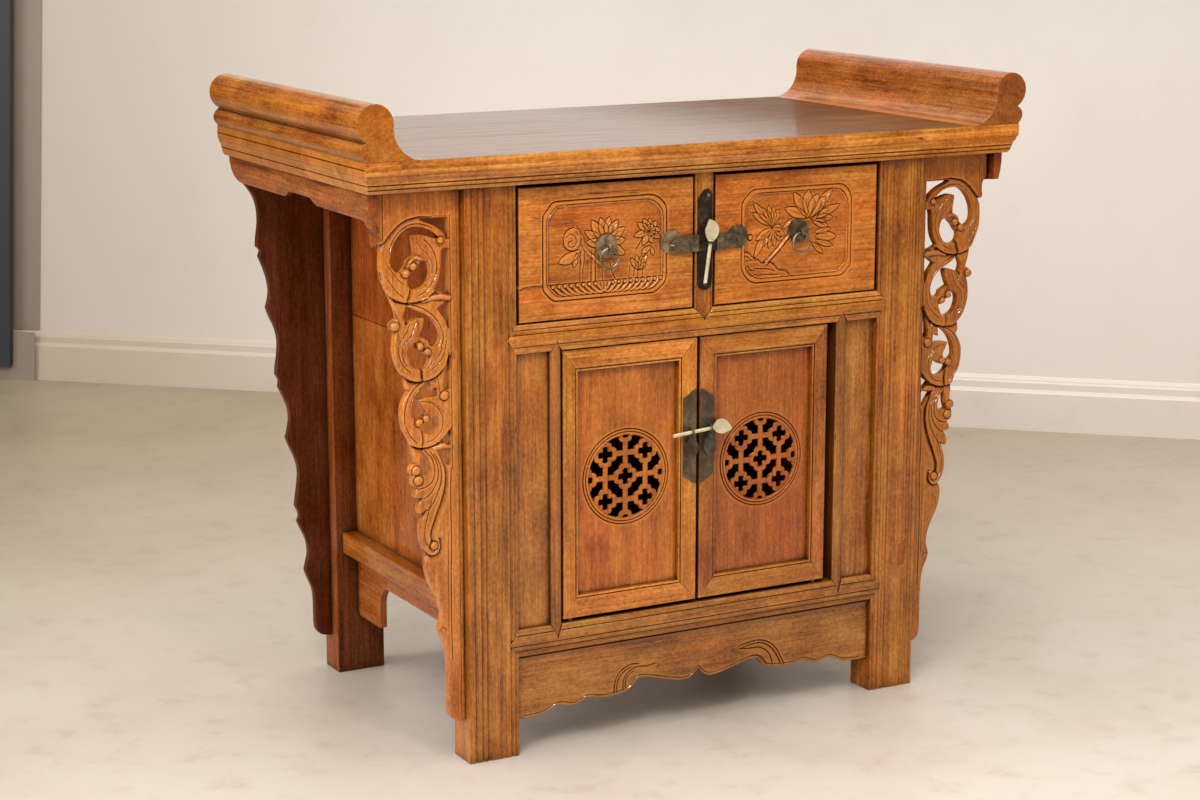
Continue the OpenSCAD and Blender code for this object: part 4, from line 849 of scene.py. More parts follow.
def carved_board(name, loops, front, back, strokes, step, rim, wobble=0.12, seed=0.0, rim_at=None,
                 strength=1.0, flat_under=(), hole_back=None, undercut=0.0):
    """A board in the XZ plane. Loops and strokes are in mm, front and back are Y in mm. flat_under lists
    plates (x, z, radius) under which nothing stands proud. hole_back and undercut set how deep the walls
    of the holes go and how far they lean outward."""
    loops = [spaced(loop, 2.2, closed=True) for loop in loops]
    flat, tris = joined(loops, face_points(loops, strokes, step, rim))
    height = carved_height(flat, strokes) * strength
    for x, z, r in flat_under:
        under = np.clip((np.hypot(flat[:, 0] - x, flat[:, 1] - z) - r) / 2.0, 0, 1)
        height = np.where(height > 0, height * under, height)
    sides = np.vstack([tris[:, (0, 1)], tris[:, (1, 2)], tris[:, (2, 0)]])
    pairs = np.unique(np.vstack([sides, sides[:, ::-1]]), axis=0)
    # From these marks the wood material paints shade and dirt into cuts and the sunk ground, and a highlight
    # onto crests.
    marks = {"relief": np.clip((height - eased(height, pairs, 5)) / 0.42, -1, 1),
             "sunk": np.clip(-eased(height, pairs, 2), 0, 2)}
    size = rim if rim_at is None else rim_at(flat)
    inner = np.clip(1 - rim_gap(flat, loops) / np.maximum(size, 1e-6), 0, 1)
    height -= (1 - np.sqrt(np.clip(1 - inner**2, 0, 1))) * size
    height += [uneven(p, seed, wobble) for p in flat]
    used = dict.fromkeys(zip(tris.ravel(), np.roll(tris, -1, axis=1).ravel()))
    border = [(a, b) for a, b in used if (b, a) not in used]
    on_border = sorted({a for a, b in border} | {b for a, b in border})
    behind = {v: len(flat) + k for k, v in enumerate(on_border)}
    spots = flat[on_border]
    back_places = np.array([[x, back, z] for x, z in spots])
    if hole_back is not None:
        for loop in loops[1:]:
            at_hole = away(spots, loop, closed=True)[0] < 0.05
            out = spots[at_hole] - loop.mean(0)
            out /= np.linalg.norm(out, axis=1)[:, None]
            back_places[at_hole, 1] = hole_back
            back_places[at_hole, 0] += out[:, 0] * undercut
            back_places[at_hole, 2] += out[:, 1] * undercut
    faces = [tuple(int(i) for i in tri) for tri in tris]
    faces += [(int(b), int(a), behind[a], behind[b]) for a, b in border]
    faces += [tuple(behind[on_border[i]] for i in reversed(tri)) for tri in back_triangles(spots, loops)]
    front_places = np.stack([flat[:, 0], front - height, flat[:, 1]], 1)
    print(name, "has", len(front_places), "points and", len(faces), "faces")
    return board_mesh(name, front_places * MM, back_places * MM, faces, marks)

# %% [markdown]
# ## The pierced spandrels
# These look like thin boards, sawn through between the scrolls and then carved with a
# gouge: each scroll is a stem that curls round a pointed leaf, with berries beside it.
# The openings come from the CAD outline. The strokes count out from the post's side and
# down from the top, so one list serves both boards, mirrored for the left one.

# %% Spandrel strokes
POST_SIDE = 370.0
SPANDREL_TOP = 800.0


def placed(strokes, side):
    """Strokes in the cabinet's place, on the side given by -1 or 1."""
    moved = []
    for kind, line, wide, size, toward in strokes:
        line = np.stack([side * (POST_SIDE + line[:, 0]), SPANDREL_TOP - line[:, 1]], 1)
        if toward is not None:
            toward = (side * (POST_SIDE + toward[0]), SPANDREL_TOP - toward[1])
        moved.append((kind, line, wide, size, toward))
    return moved


def spandrel_strokes():
    """Every cut on one spandrel, from the top down."""
    return [
        # the board above the scrolls, and the strip along the post
        groove(curve([(15, 38), (30, 37.4), (45, 37)]), 1.1, 1.0),
        step_down(curve([(45, 37), (60, 36), (75, 38.5), (87, 44), (97, 52), (106, 62), (112, 69)]),
                  (60, 60), 9, 2.6),
        groove(curve([(40, 52.5), (50, 48), (62, 45.5), (75, 47), (87, 54), (96, 65), (102, 80),
                  (102, 95)]), 1.2, 1.0),
        groove([(14.6, 38), (14.6, 382)], 1.0, 0.9),
        groove(curve([(16.5, 380), (18, 420), (17.5, 480), (19, 560), (18, 650)]), 1.2, 1.1),
        groove(curve([(22, 470), (22.5, 520), (23, 600)]), 0.9, 0.7),
        groove([(5, 2), (5, 736)], 0.8, 0.5),
        groove([(111.5, 1), (111.5, 66)], 0.8, 0.9),
        # first scroll
        ball(29, 69.5, 4.6, 3.0),
        groove(curve([(22, 64), (20.8, 70), (24, 76), (31, 77.5), (36, 73)]), 0.9, 0.8),
        groove(curve([(52, 67), (43, 76), (36, 90), (34, 106), (39, 122), (49, 135), (60, 141)]), 1.3, 1.0),
        groove(curve([(62, 70), (55, 80), (46, 88), (41, 100), (41, 112)]), 1.1, 0.7),
        ridge(curve([(58, 92), (66, 90), (72, 94), (74, 100)]), 2.6, 1.2),
        ball(68.5, 102, 5.2, 3.4),
        ball(79.5, 110.5, 5.6, 3.8),
        step_down(curve([(76, 118), (74, 126), (75, 136), (78, 147)]), (66, 135), 9, 3.0),
        groove(curve([(104, 99), (98, 108), (90, 118), (83, 124)]), 1.0, 0.9),
        groove(curve([(108, 112), (100, 124), (92, 134), (84, 141)]), 1.0, 0.9),
        step_down(curve([(113, 112), (109, 128), (99, 141), (85, 148), (68, 149.5), (52, 146), (39, 138)]),
                  (70, 160), 12, 4.0),
        ridge(curve([(17, 147.5), (30, 145), (42, 145.5), (54, 148)]), 4.0, 2.2),
        # second scroll
        groove(curve([(96, 146), (80, 151), (64, 155), (50, 162), (38, 172), (30, 185), (26, 200),
                  (29, 214)]), 1.2, 1.1),
        groove(curve([(21, 205), (25, 222), (34, 235), (46, 244)]), 1.0, 0.9),
        groove(curve([(27, 214), (34, 226), (42, 232), (49, 240)]), 1.0, 0.8),
        step_down(curve([(78, 152), (79, 165), (81, 178)]), (76, 165), 7, 3.4),
        groove(curve([(101, 146), (95, 160), (89, 176)]), 0.9, 0.9),
        ball(96, 180, 6.0, 3.0),
        groove(curve([(74, 178), (80, 190), (90, 203)]), 1.1, 1.0),
        groove(curve([(66, 178), (74, 196), (83, 205), (86, 220), (80, 234)]), 1.2, 0.9),
        groove(curve([(92, 208), (90, 222), (84, 234), (74, 244)]), 1.0, 0.9),
        ball(61, 209.5, 5.8, 3.6),
        ball(50, 218.5, 5.4, 3.4),
        step_down(curve([(48, 224), (54, 236), (56.5, 244), (56, 256)]), (66, 246), 8, 2.8),
        step_down(curve([(18, 228), (27, 243), (40, 253), (57, 257), (73, 255), (83, 248)]), (55, 268),
                  12, 4.0),
        # third scroll
        groove(curve([(34, 252), (33, 265), (31, 278)]), 1.0, 0.9),
        groove(curve([(60, 260), (71, 268), (80, 282), (84, 298), (84, 312)]), 1.2, 1.1),
        groove(curve([(52, 262), (64, 268), (73, 280), (77, 294)]), 0.9, 0.8),
        ball(25.5, 279.5, 6.2, 2.6),
        groove(curve([(58, 284), (44, 288), (33, 298), (28, 312), (31, 328), (42, 338), (52, 340)]),
                  1.2, 1.0),
        groove(curve([(48, 284), (36, 291), (27, 302)]), 1.0, 0.8),
        ball(53, 308.5, 5.0, 3.0),
        ball(63.5, 312.5, 5.6, 3.4),
        step_down(curve([(62, 319), (60, 328), (59, 338), (60, 347)]), (52, 338), 8, 2.6),
        groove(curve([(82, 318), (76, 330), (67, 340)]), 1.0, 0.9),
        step_down(curve([(21, 329), (31, 340), (45, 346), (60, 347.5), (74, 343), (84, 334)]), (55, 360),
                  12, 4.0),
        # the long leaf and its lobes
        ridge(curve([(18, 351), (28, 348), (40, 350)]), 3.6, 1.8),
        groove(curve([(55, 352), (45, 364), (41, 380), (44, 394), (54, 402), (66, 404)]), 1.2, 1.2),
        groove(curve([(47, 354), (38, 370), (36, 388), (42, 404), (53, 416), (66, 419)]), 1.2, 1.2),
        groove(curve([(41, 358), (33, 374), (32, 396), (39, 416), (49, 432), (56, 436)]), 1.2, 1.2),
        step_down(curve([(34, 362), (27, 380), (27, 402), (34, 426), (43, 448), (49, 466), (48.5, 478)]),
                  (25, 440), 10, 3.2),
        groove(curve([(46, 420), (52, 440), (57, 460), (56, 478), (49, 488)]), 1.1, 1.0),
        ball(68.5, 378, 6.2, 2.6),
        ball(65.5, 392, 6.4, 3.2),
        groove(curve([(62, 352), (62, 362), (61, 372)]), 0.9, 0.8),
        ball(43.5, 485, 5.6, 2.6),
        step_down(curve([(36, 480), (35, 490), (41, 497), (50, 497), (57, 490)]), (40, 508), 9, 2.6),
        groove(curve([(49, 479), (51, 487), (46, 493), (38.5, 490)]), 0.9, 0.9),
        groove(curve([(27, 606), (32, 602), (36.5, 606)]), 1.4, 1.0),
    ]


def scroll_rim(places):
    """The scrolls have rounder edges than the plain parts of the board."""
    x, y = np.abs(places[:, 0]) - POST_SIDE, SPANDREL_TOP - places[:, 1]
    carved = (x > 16) & (y > 39) & (y < 505)
    return np.where(carved, 2.6, 1.1)


SPANDREL_STROKES = spandrel_strokes()
for name, side in (("front_spandrel_left", -1), ("front_spandrel_right", 1)):
    loops, face = face_loops(name)
    mesh = carved_board(name + "_carved", loops, face, face + 12, placed(SPANDREL_STROKES, side),
                        step=1.7, rim=2.4, seed=side + 2.0, rim_at=scroll_rim, strength=1.25)
    stands_for(new_object("carved_" + name, mesh, MATERIALS[name]), name)

# %% [markdown]
# ## The apron, with its two carved volutes
# The apron is a board with a scalloped lower edge. Its maker ran a fine line beside that
# edge and cut two pairs of curling stems. The line is read from the CAD outline, so it
# follows every scallop, and only the volutes are listed point by point.

# %% Apron
def apron_strokes(loop):
    out = []
    lower = loop[(loop[:, 1] < 100) & (np.abs(loop[:, 0]) < 288)]
    lower = lower[lower[:, 0].argsort()]
    out.append(groove(lower + (0, 4.2), 1.1, 0.8))
    for line in (
        [(-138, 62), (-138.5, 74), (-134, 88), (-125, 97), (-112, 102), (-98, 101.5)],
        [(-134, 61), (-134.5, 74), (-130.5, 86), (-122, 94), (-111, 98.5)],
        [(-124, 66), (-124, 78), (-119, 88), (-109, 95), (-98, 97), (-84, 96), (-72, 98)],
        [(-120.5, 67), (-120.5, 78), (-116, 86), (-107, 92)],
        [(68, 102), (86, 105.5), (104, 106), (120, 100.5), (133, 89), (141, 75), (147, 63)],
        [(74, 99), (90, 102), (104, 102), (117, 97), (129, 86), (137, 73), (142, 62)],
        [(70, 98), (86, 96), (102, 95.5), (115, 89), (123, 79), (128, 62)],
        [(84, 80), (94, 84), (104, 82), (112, 75), (117, 66)],
    ):
        out.append(groove(curve(line), 1.3, 1.3))
    for line in (
        [(-136, 62), (-136.5, 74), (-132.5, 87), (-123.5, 95.5), (-112, 100)],
        [(-122.2, 66), (-122.2, 78), (-117.5, 87), (-108, 93.5)],
        [(72, 100.5), (88, 103.8), (104, 104), (118.5, 98.7), (131, 87.5), (139, 74), (144.5, 63)],
    ):
        out.append(ridge(curve(line), 1.6, 0.5))
    out.append(groove([(-293, 139.5), (293, 139.5)], 1.5, 1.0))
    return out


loops, face = face_loops("front_apron")
mesh = carved_board("apron_carved", loops, face, face + 12, apron_strokes(loops[0]),
                    step=2.6, rim=1.4, seed=5.0, strength=1.4)
stands_for(new_object("carved_front_apron", mesh, MATERIALS["front_apron"]), "front_apron")

# %% [markdown]
# ## Petals and fields
# Lotus flowers, buds and leaves stand in a sunk field between two grooves. A carver makes
# a petal with a few cuts, so it is one function here: an outline between its root and its
# tip, a swelling inside it and a vein. A flower is a fan of petals from one root.

# %% Petals, flowers and the groove round a field
def petal(root, tip, wide, high=1.1, bend=0.0, vein=True):
    root, tip = np.array(root, float), np.array(tip, float)
    along = tip - root
    across = np.array([-along[1], along[0]]) / np.linalg.norm(along)
    share = np.array([0.0, 0.25, 0.55, 0.82, 1.0])
    girth = np.array([0.18, 0.72, 1.0, 0.62, 0.0]) * wide / 2
    spine = root + along * share[:, None] + across * (bend * np.sin(share * math.pi))[:, None]
    left = curve(spine + across * girth[:, None], 1.0)
    right = curve(spine - across * girth[:, None], 1.0)
    outline = np.vstack([left, right[-2::-1]])
    out = [dome(outline, wide * 0.42, high), groove(np.vstack([left, right[::-1]]), 0.9, 0.9)]
    if vein:
        out.append(groove(curve(spine[:-1] * 0.97 + spine[1:] * 0.03, 1.2), 0.8, 0.5))
    return out


def flower(root, tips, wide, high=1.1):
    """Petals from one root to every tip."""
    out = []
    for tip in tips:
        out += petal(root, tip, wide, high)
    return out


def rounded(corners, reach=5.5):
    """A closed line whose corners are cut round, the given distance along each side."""
    out = []
    for before, here, after in zip(np.roll(corners, 1, axis=0), corners, np.roll(corners, -1, axis=0)):
        ends = []
        for other in (before, after):
            side = other - here
            length = np.linalg.norm(side)
            ends.append(here + side / length * min(reach, 0.45 * length))
        out += [ends[0], (ends[0] + 2 * here + ends[1]) / 4, ends[1]]
    return np.array(out)


def cartouche(corners, inset, wide, deep):
    """A groove round a field; the corners are given for its outer edge."""
    corners = np.array(corners, float)
    middle = corners.mean(0)
    toward = np.sign(middle - corners)
    line = rounded(corners + toward * inset)
    return [groove(np.vstack([line, line[:1]]), wide, deep)]


def sunk_field(outer):
    """The ground of the whole field, a little below the board's face."""
    field = np.array(outer, float)
    return ("dome", field + np.sign(field.mean(0) - field) * 7.0, 3.0, -0.9, None)

# %% [markdown]
# ## The left drawer's carving
# A snail-like bud stands at the left, an open lotus in the middle and a curled flower at
# the right, over a row of slanted leaves. What the ring plates hide was carried on from
# what shows. Places are X and Z in the frame, in mm, read off the photograph.

# %% The left drawer's strokes
def left_drawer_strokes():
    outer = [(-252.5, 754), (-237, 772.5), (-82, 773), (-71, 768), (-61, 757), (-60, 748),
             (-60, 655), (-64, 648), (-79, 636.5), (-237, 636.5), (-252.5, 652)]
    out = cartouche(outer, 0, 1.5, 1.4) + cartouche(outer, 5.6, 1.1, 1.0)
    out.append(sunk_field(outer))
    # a row of slanted leaves along the bottom, parted at the middle
    for start, way, leaves in ((-239, 1, 8), (-68, -1, 9)):
        for k in range(leaves):
            x = start + way * 9.4 * k
            blade = [(x, 656.5), (x + way * 5, 650.5), (x + way * 11, 645), (x + way * 19, 642.6)]
            out.append(groove(curve(blade, 1.2), 1.1, 1.1))
            out.append(ridge(curve(np.array(blade) + (way * 3.4, 1.2), 1.2), 2.2, 0.9))
            out.append(ball(x + way * 1.5, 656.2, 2.4, 1.0))
    for k in (-1, 0, 1):
        out.append(groove(curve([(-158 + 6 * k, 657), (-158 + 3 * k, 648), (-158 + k, 643)], 1.2), 1.0, 1.0))
    out.append(groove(curve([(-246, 659), (-200, 659), (-140, 659), (-66, 658.5)], 3.0), 0.9, 0.8))
    # where two boards of the front meet; the left end is worn hollow
    out.append(groove(curve([(-289, 655), (-280, 658.5), (-266, 659.2), (-254, 659)]), 1.6, 1.3))
    hollow = curve([(-289, 654), (-280, 657.5), (-266, 658.2), (-254, 658)])
    out.append(step_down(hollow, (-270, 650), 12, 1.2))
    out.append(groove([(-58, 658), (-38, 656), (-18, 655.5)], 0.8, 0.5))
    # snail-like bud on its stem
    bud = curve([(-221, 722), (-215, 732), (-204, 735), (-196, 728), (-194, 716), (-199, 706), (-210, 704),
                 (-219, 710), (-221, 722)], 1.2)
    out += [dome(bud[:-1], 5.0, 1.3), groove(bud, 1.0, 1.0)]
    out.append(groove(curve([(-218, 722), (-210, 727), (-202, 720), (-204, 711), (-211, 709), (-214, 715),
                             (-209, 718)]), 1.0, 1.0))
    stem = curve([(-203, 735), (-195, 726), (-190, 712), (-185, 703), (-172, 690), (-163, 682)])
    out.append(ridge(stem, 2.4, 1.3))
    out.append(groove(curve([(-200, 733), (-193, 722), (-188, 708), (-176, 697)]), 0.9, 0.8))
    for x0, x1 in ((-188, -192), (-194, -195), (-177, -178), (-171, -171)):
        out.append(groove(curve([(x0, 702), (x0 - 1, 688), (x1, 672), (x1, 660)]), 1.0, 0.9))
    out.append(ridge(curve([(-191, 700), (-191.5, 688), (-193.5, 672), (-193.5, 660)]), 2.4, 0.8))
    out.append(ridge(curve([(-174, 694), (-174.5, 680), (-174.5, 660)]), 2.4, 0.8))
    out += petal((-196, 703), (-229, 688), 15, 1.5, bend=2.0)
    out += petal((-200, 700), (-205, 680), 8, 0.9)
    out.append(groove(curve([(-204, 703), (-198, 698), (-194, 690), (-194, 676)]), 0.9, 0.8))
    # the open lotus
    out += flower((-157, 710), [(-189, 730), (-186, 714)], 13, 1.3)
    out += flower((-157, 710), [(-125, 731), (-124, 714), (-124, 693)], 14, 1.4)
    out += flower((-157, 712), [(-178, 744), (-136, 742)], 15, 1.4)
    out += flower((-156, 714), [(-164, 747), (-150, 747)], 14, 1.6)
    out.append(groove(curve([(-149, 684), (-146, 672), (-140, 660)]), 1.1, 1.0))
    out.append(groove(curve([(-160, 684), (-161, 672), (-160, 660)]), 0.9, 0.8))
    # the curled flower at the right
    out += flower((-87, 722), [(-112, 717), (-106, 735), (-97, 741), (-86, 741)], 10, 1.2)
    out += flower((-87, 722), [(-75, 736), (-69, 724), (-70, 712), (-82, 705), (-98, 703)], 10, 1.2)
    swirl = [(-96, 720), (-93, 730), (-84, 732), (-78, 725), (-81, 717), (-88, 716), (-90, 722), (-86, 725)]
    out.append(groove(curve(swirl), 1.2, 1.3))
    out.append(groove(curve([(-97, 715), (-102, 706), (-108, 699)]), 1.2, 1.2))
    out += petal((-84, 702), (-100, 692), 8, 0.9)
    out += petal((-84, 700), (-80, 688), 7, 0.8)
    # the small bud below it
    out += flower((-103, 670), [(-117, 687), (-108, 692), (-99, 690), (-90, 692), (-92, 680)], 8, 1.0)
    for x0, x1 in ((-117, -119), (-109, -112), (-105, -105), (-97, -97)):
        out.append(groove(curve([(x0, 676), (x1, 660)]), 1.0, 0.9))
    out.append(groove(curve([(-204, 767), (-214, 766), (-216, 763)]), 0.8, 0.6))
    return out

# %% [markdown]
# ## The right drawer's carving
# One large lotus in full flower fills the right half. Buds stand at the left, over clouds
# and water that are cut as single lines.

# %% The right drawer's strokes
def right_drawer_strokes():
    outer = [(61.5, 752), (70, 761), (80, 769.5), (230, 769), (240, 762), (246.5, 750), (246.5, 650),
             (232, 636.5), (82, 636.5), (70, 644), (61.5, 658)]
    out = cartouche(outer, 0, 1.4, 1.3) + cartouche(outer, 5.8, 1.1, 1.1)
    out.append(sunk_field(outer))
    # the large lotus in full flower
    out += flower((178, 722), [(228, 740), (216, 722), (208, 708)], 12, 1.3)
    out += flower((176, 724), [(214, 764), (201, 753)], 15, 1.4)
    out += flower((172, 724), [(133, 740), (148, 762)], 15, 1.4)
    out += flower((172, 724), [(190, 757), (172, 764)], 19, 1.6)
    out += flower((186, 722), [(206, 736), (200, 728), (204, 717)], 8, 1.0)
    for x, z in ((158, 752), (153, 744), (182, 750), (168, 752), (196, 744), (208, 748)):
        out.append(groove(curve([(x, z), (0.45 * x + 0.55 * 173, 0.45 * z + 0.55 * 724)]), 0.8, 0.7))
    # buds above and below at the left
    out += flower((112, 716), [(80, 752), (79, 737), (124, 740)], 11, 1.2)
    out += flower((112, 716), [(97, 743), (106, 746), (115, 745)], 9, 1.3)
    out += flower((113, 713), [(85, 697), (134, 701), (130, 712)], 11, 1.2)
    out += flower((113, 713), [(97, 687), (107, 684), (117, 686), (126, 694)], 9, 1.3)
    out += petal((84, 673), (100, 704), 11, 1.1)
    out.append(ridge(curve([(103, 663), (112, 672), (124, 683), (134, 694), (143, 702)]), 2.4, 1.6))
    out.append(groove(curve([(106, 661), (115, 670), (127, 681), (137, 692), (146, 700)]), 1.0, 1.0))
    out.append(groove(curve([(100, 666), (109, 674), (121, 685), (131, 696), (140, 704)]), 1.0, 1.0))
    out += petal((146, 724), (130, 710), 7, 1.1)
    eye = curve([(71, 702), (76, 707), (81, 702), (76, 697), (71, 702)], 0.9)
    out += [ball(76, 702, 3.4, 0.8), groove(eye, 0.9, 0.9)]
    # clouds over water at the lower left
    cloud = [(67, 681), (75, 679.5), (81, 673), (90, 668.5), (97, 664), (108, 664.5), (117, 660),
             (124, 652.5), (137, 649), (144, 642.5)]
    out.append(step_down(curve(cloud), (140, 665), 7, 1.4))
    out.append(groove(curve(cloud), 1.0, 1.0))
    for line in (
        [(68, 665), (71, 669), (80, 669.5), (87, 668)], [(83, 657), (94, 656), (107, 655), (118, 651.5)],
        [(67, 676), (74, 674), (79, 669)], [(68, 660), (72, 652), (79, 647), (88, 649)],
        [(95, 648), (108, 647), (122, 646)], [(73, 662), (77, 656), (84, 654)],
    ):
        out.append(groove(curve(line), 1.1, 1.0))
    # leaves at the right
    out += petal((186, 696), (222, 694), 14, 1.2)
    out += petal((186, 690), (216, 681), 9, 1.0)
    out += petal((184, 702), (213, 706), 9, 1.0)
    out += petal((180, 688), (200, 670), 8, 0.8)
    out.append(groove(curve([(18, 673), (40, 672.4), (60, 672)]), 0.7, 0.4))
    out.append(groove(curve([(18, 641), (32, 637.5), (46, 634)]), 0.8, 0.5))
    return out

# %% [markdown]
# ## Flat ground under the plates
# A plate lies flat on its drawer, so the carver left nothing proud under it. The plates'
# places are read from the CAD, so that the carving follows them.

# %% The carved drawer fronts
PLATE_RADIUS = 17.5


def plates_of(side):
    """The boxes, in mm, of the two round plates on a drawer front."""
    mesh = frame["nodes"][side + "_drawer_plates"].data
    places = np.array([v.co for v in mesh.vertices]) / MM
    level = places[:, 1].max()
    flat = places[places[:, 1] > level - 0.01]
    middle = (flat[:, 0].min() + flat[:, 0].max()) / 2
    halves = (flat[flat[:, 0] < middle], flat[flat[:, 0] >= middle])
    return [(half.min(0), half.max(0)) for half in halves]


for side, strokes in (("left", left_drawer_strokes()), ("right", right_drawer_strokes())):
    name = side + "_drawer_front"
    loops, face = face_loops(name)
    plates = [(*(low + high)[[0, 2]] / 2, PLATE_RADIUS) for low, high in plates_of(side)]
    mesh = carved_board(name + "_carved", loops[:1], face, face + 20, strokes, step=1.5, rim=1.2, wobble=0.15,
                        seed=8.0 if side == "left" else 9.0, strength=1.6, flat_under=plates)
    stands_for(new_object("carved_" + name, mesh, MATERIALS[name]), name)

# %% [markdown]
# ## The openwork in the doors
# Each door has a roundel of openwork inside a ring. It reads as fretwork, sawn from one
# thin board: bars cross on a square net, a four-lobed frame stands round every second
# crossing, and slanting slots lie between the frames. So two hole shapes, repeated on the
# net and clipped to the roundel's circle, are all that it takes.

# %% The two kinds of hole
NET = (32.0, 33.6)  # from crossing to crossing
OPENING = 59.0  # radius of the openwork
CIRCLE_SIDES = 48


def clipped(shape, radius):
    """The part of a closed shape inside a circle round the origin."""
    result = [tuple(p) for p in shape]
    for k in range(CIRCLE_SIDES):
        turn = 2 * math.pi * (k + 0.5) / CIRCLE_SIDES
        nx, ny = math.cos(turn), math.sin(turn)
        reach = radius * math.cos(math.pi / CIRCLE_SIDES)
        cut = []
        for a, b in zip(result, result[1:] + result[:1]):
            da, db = a[0] * nx + a[1] * ny - reach, b[0] * nx + b[1] * ny - reach
            if da <= 0:
                cut.append(a)
            if da * db < 0:
                t = da / (da - db)
                cut.append((a[0] + (b[0] - a[0]) * t, a[1] + (b[1] - a[1]) * t))
        result = cut
        if len(result) < 3:
            return np.zeros((0, 2))
    return np.array(result)


def quatrefoil_hole():
    """A hole with four rounded arms, round a crossing."""
    arm = [(4.2, 4.2), (6.5, 3.8), (9.0, 4.4), (11.0, 3.3), (11.6, 0.0), (11.0, -3.3), (9.0, -4.4),
           (6.5, -3.8)]
    shape = []
    for turn in range(4):
        c, s = math.cos(-turn * math.pi / 2), math.sin(-turn * math.pi / 2)
        shape += [(x * c - y * s, x * s + y * c) for x, y in arm]
    return np.array(shape)


def slot_hole(across, up):
    """A slanting slot between the crossings (0, 1) and (1, 0) of the net."""
    p, q = across, up
    near = [(18.2, 4.0), (17.2, 7.9), (13.6, 10.3), (10.4, 10.4), (10.3, 13.6), (7.9, 17.2), (4.0, 18.2)]
    far = [(p - x, q - z) for x, z in near]
    return np.array([(4.0, q - 4.0)] + far + [(p - 4.0, 4.0)] + near)


def lattice_holes():
    """All holes of a roundel round the origin; slivers at its edge are left out."""
    holes = []
    p, q = NET
    for i in range(-2, 3):
        for j in range(-2, 3):
            if (i + j) % 2 == 0:
                holes.append(quatrefoil_hole() + (i * p, j * q))
    slot = slot_hole(p, q)
    for i in range(-2, 2):
        for j in range(-2, 2):
            shape = slot.copy()
            if (i + j) % 2:
                shape[:, 0] = p - shape[:, 0]
            holes.append(shape + (i * p, j * q))
    cut = [clipped(hole, OPENING) for hole in holes]
    return [hole for hole in cut if len(hole) > 3 and np.ptp(hole[:, 0]) * np.ptp(hole[:, 1]) > 12]

# %% [markdown]
# ## The door panels
# Two fine rings are cut round the roundel. The bars' edges are rounded over 2.1 mm. The
# holes' walls are only 5 mm deep and lean outward by 1.3 mm, so the bars stay slender
# where they are seen at a slant. The back of the real panels isn't seen.

# %% Door panels
def circle(x, z, r):
    turn = np.linspace(0, 2 * math.pi, 2 * CIRCLE_SIDES + 1)
    return np.stack([x + r * np.cos(turn), z + r * np.sin(turn)], 1)


def panel_strokes(x, z):
    out = [groove(circle(x, z, 68.2), 1.1, 1.2), groove(circle(x, z, 64.0), 0.9, 0.8)]
    out.append(ridge(circle(x, z, 66.1), 1.6, 0.4))
    out.append(ridge(circle(x, z, 61.6), 2.0, 0.5))
    return out


def lattice_rim(x, z):
    """Rounded edges on the openwork, and sharper ones on the plain panel."""
    def size(places):
        near = np.hypot(places[:, 0] - x, places[:, 1] - z) < OPENING + 3
        return np.where(near, 2.1, 0.6)
    return size


for side in ("left", "right"):
    name = side + "_door_panel"
    loops, face = face_loops(name)
    ring = next(loop for loop in loops[1:] if np.ptp(loop[:, 0]) > 100)
    centre = (ring.min(0) + ring.max(0)) / 2
    holes = [hole + centre for hole in lattice_holes()]
    mesh = carved_board(name + "_carved", [loops[0]] + holes, face, face + 8, panel_strokes(*centre),
                        step=2.2, rim=2.1, wobble=0.25, seed=11.0 if side == "left" else 12.0,
                        rim_at=lattice_rim(*centre), strength=1.5, hole_back=face + 5.0, undercut=1.3)
    stands_for(new_object("carved_" + name, mesh, MATERIALS[name]), name)
    print(side, "roundel at", np.round(centre, 1), "holes", len(holes))

# %% [markdown]
# ## Scribed lines
# The rails, posts and door frames carry fine grooves. A maker can run such lines with a
# scratch stock, a small blade in a block that is drawn along the board. Here a face is
# cut by three planes, and the middle line is pushed in, which makes a V. It costs a few
# faces and shades like a real groove, and the wood material paints shade and dirt into it.

# %% A groove along a board
FACES_IT = 0.78  # how squarely a face has to look the groove's way
# Where this mark stands, the wood material paints shade and dirt into the groove.
SCRIBED = -1.15  # the mark that the wood material darkens


def scribe(bm, lines, look, sign):
    """Cuts V grooves across the faces that look along one axis, to the side given by the sign. Each line
    is (axis across the groove, place, width, depth), in mm."""
    mark = bm.verts.layers.float.get("relief") or bm.verts.layers.float.new("relief")
    for axis, at, wide, deep in lines:
        normal = Vector([float(k == axis) for k in range(3)])
        for offset in (-wide / 2, 0.0, wide / 2):
            faces = [f for f in bm.faces if f.normal[look] * sign > FACES_IT]
            edges = dict.fromkeys(e for f in faces for e in f.edges)
            verts = dict.fromkeys(v for f in faces for v in f.verts)
            bmesh.ops.bisect_plane(bm, geom=faces + list(edges) + list(verts), dist=1e-6,
                                   plane_co=normal * (at + offset) * MM, plane_no=normal)
        bm.normal_update()
        for vert in bm.verts:
            on_line = abs(vert.co[axis] - at * MM) < 2e-6
            if on_line and any(f.normal[look] * sign > FACES_IT for f in vert.link_faces):
                vert.co[look] -= sign * deep * MM
                vert[mark] = SCRIBED
        bm.normal_update()

# %% [markdown]
# ## Worn edges
# The edges look rounded by long use, and about a millimetre matches them. How old the
# cabinet is isn't known. Each plain board is a copy of its CAD piece with its sharp edges
# bevelled. Smooth shading alone would make the broad faces look like pillows, so every
# corner's normal is weighted by the area of the faces round it: the flat faces stay flat
# and only the edges shade round.

# %% Soften a board
SHADE_ROUND = 47.0  # degrees; sharper edges than this stay crisp


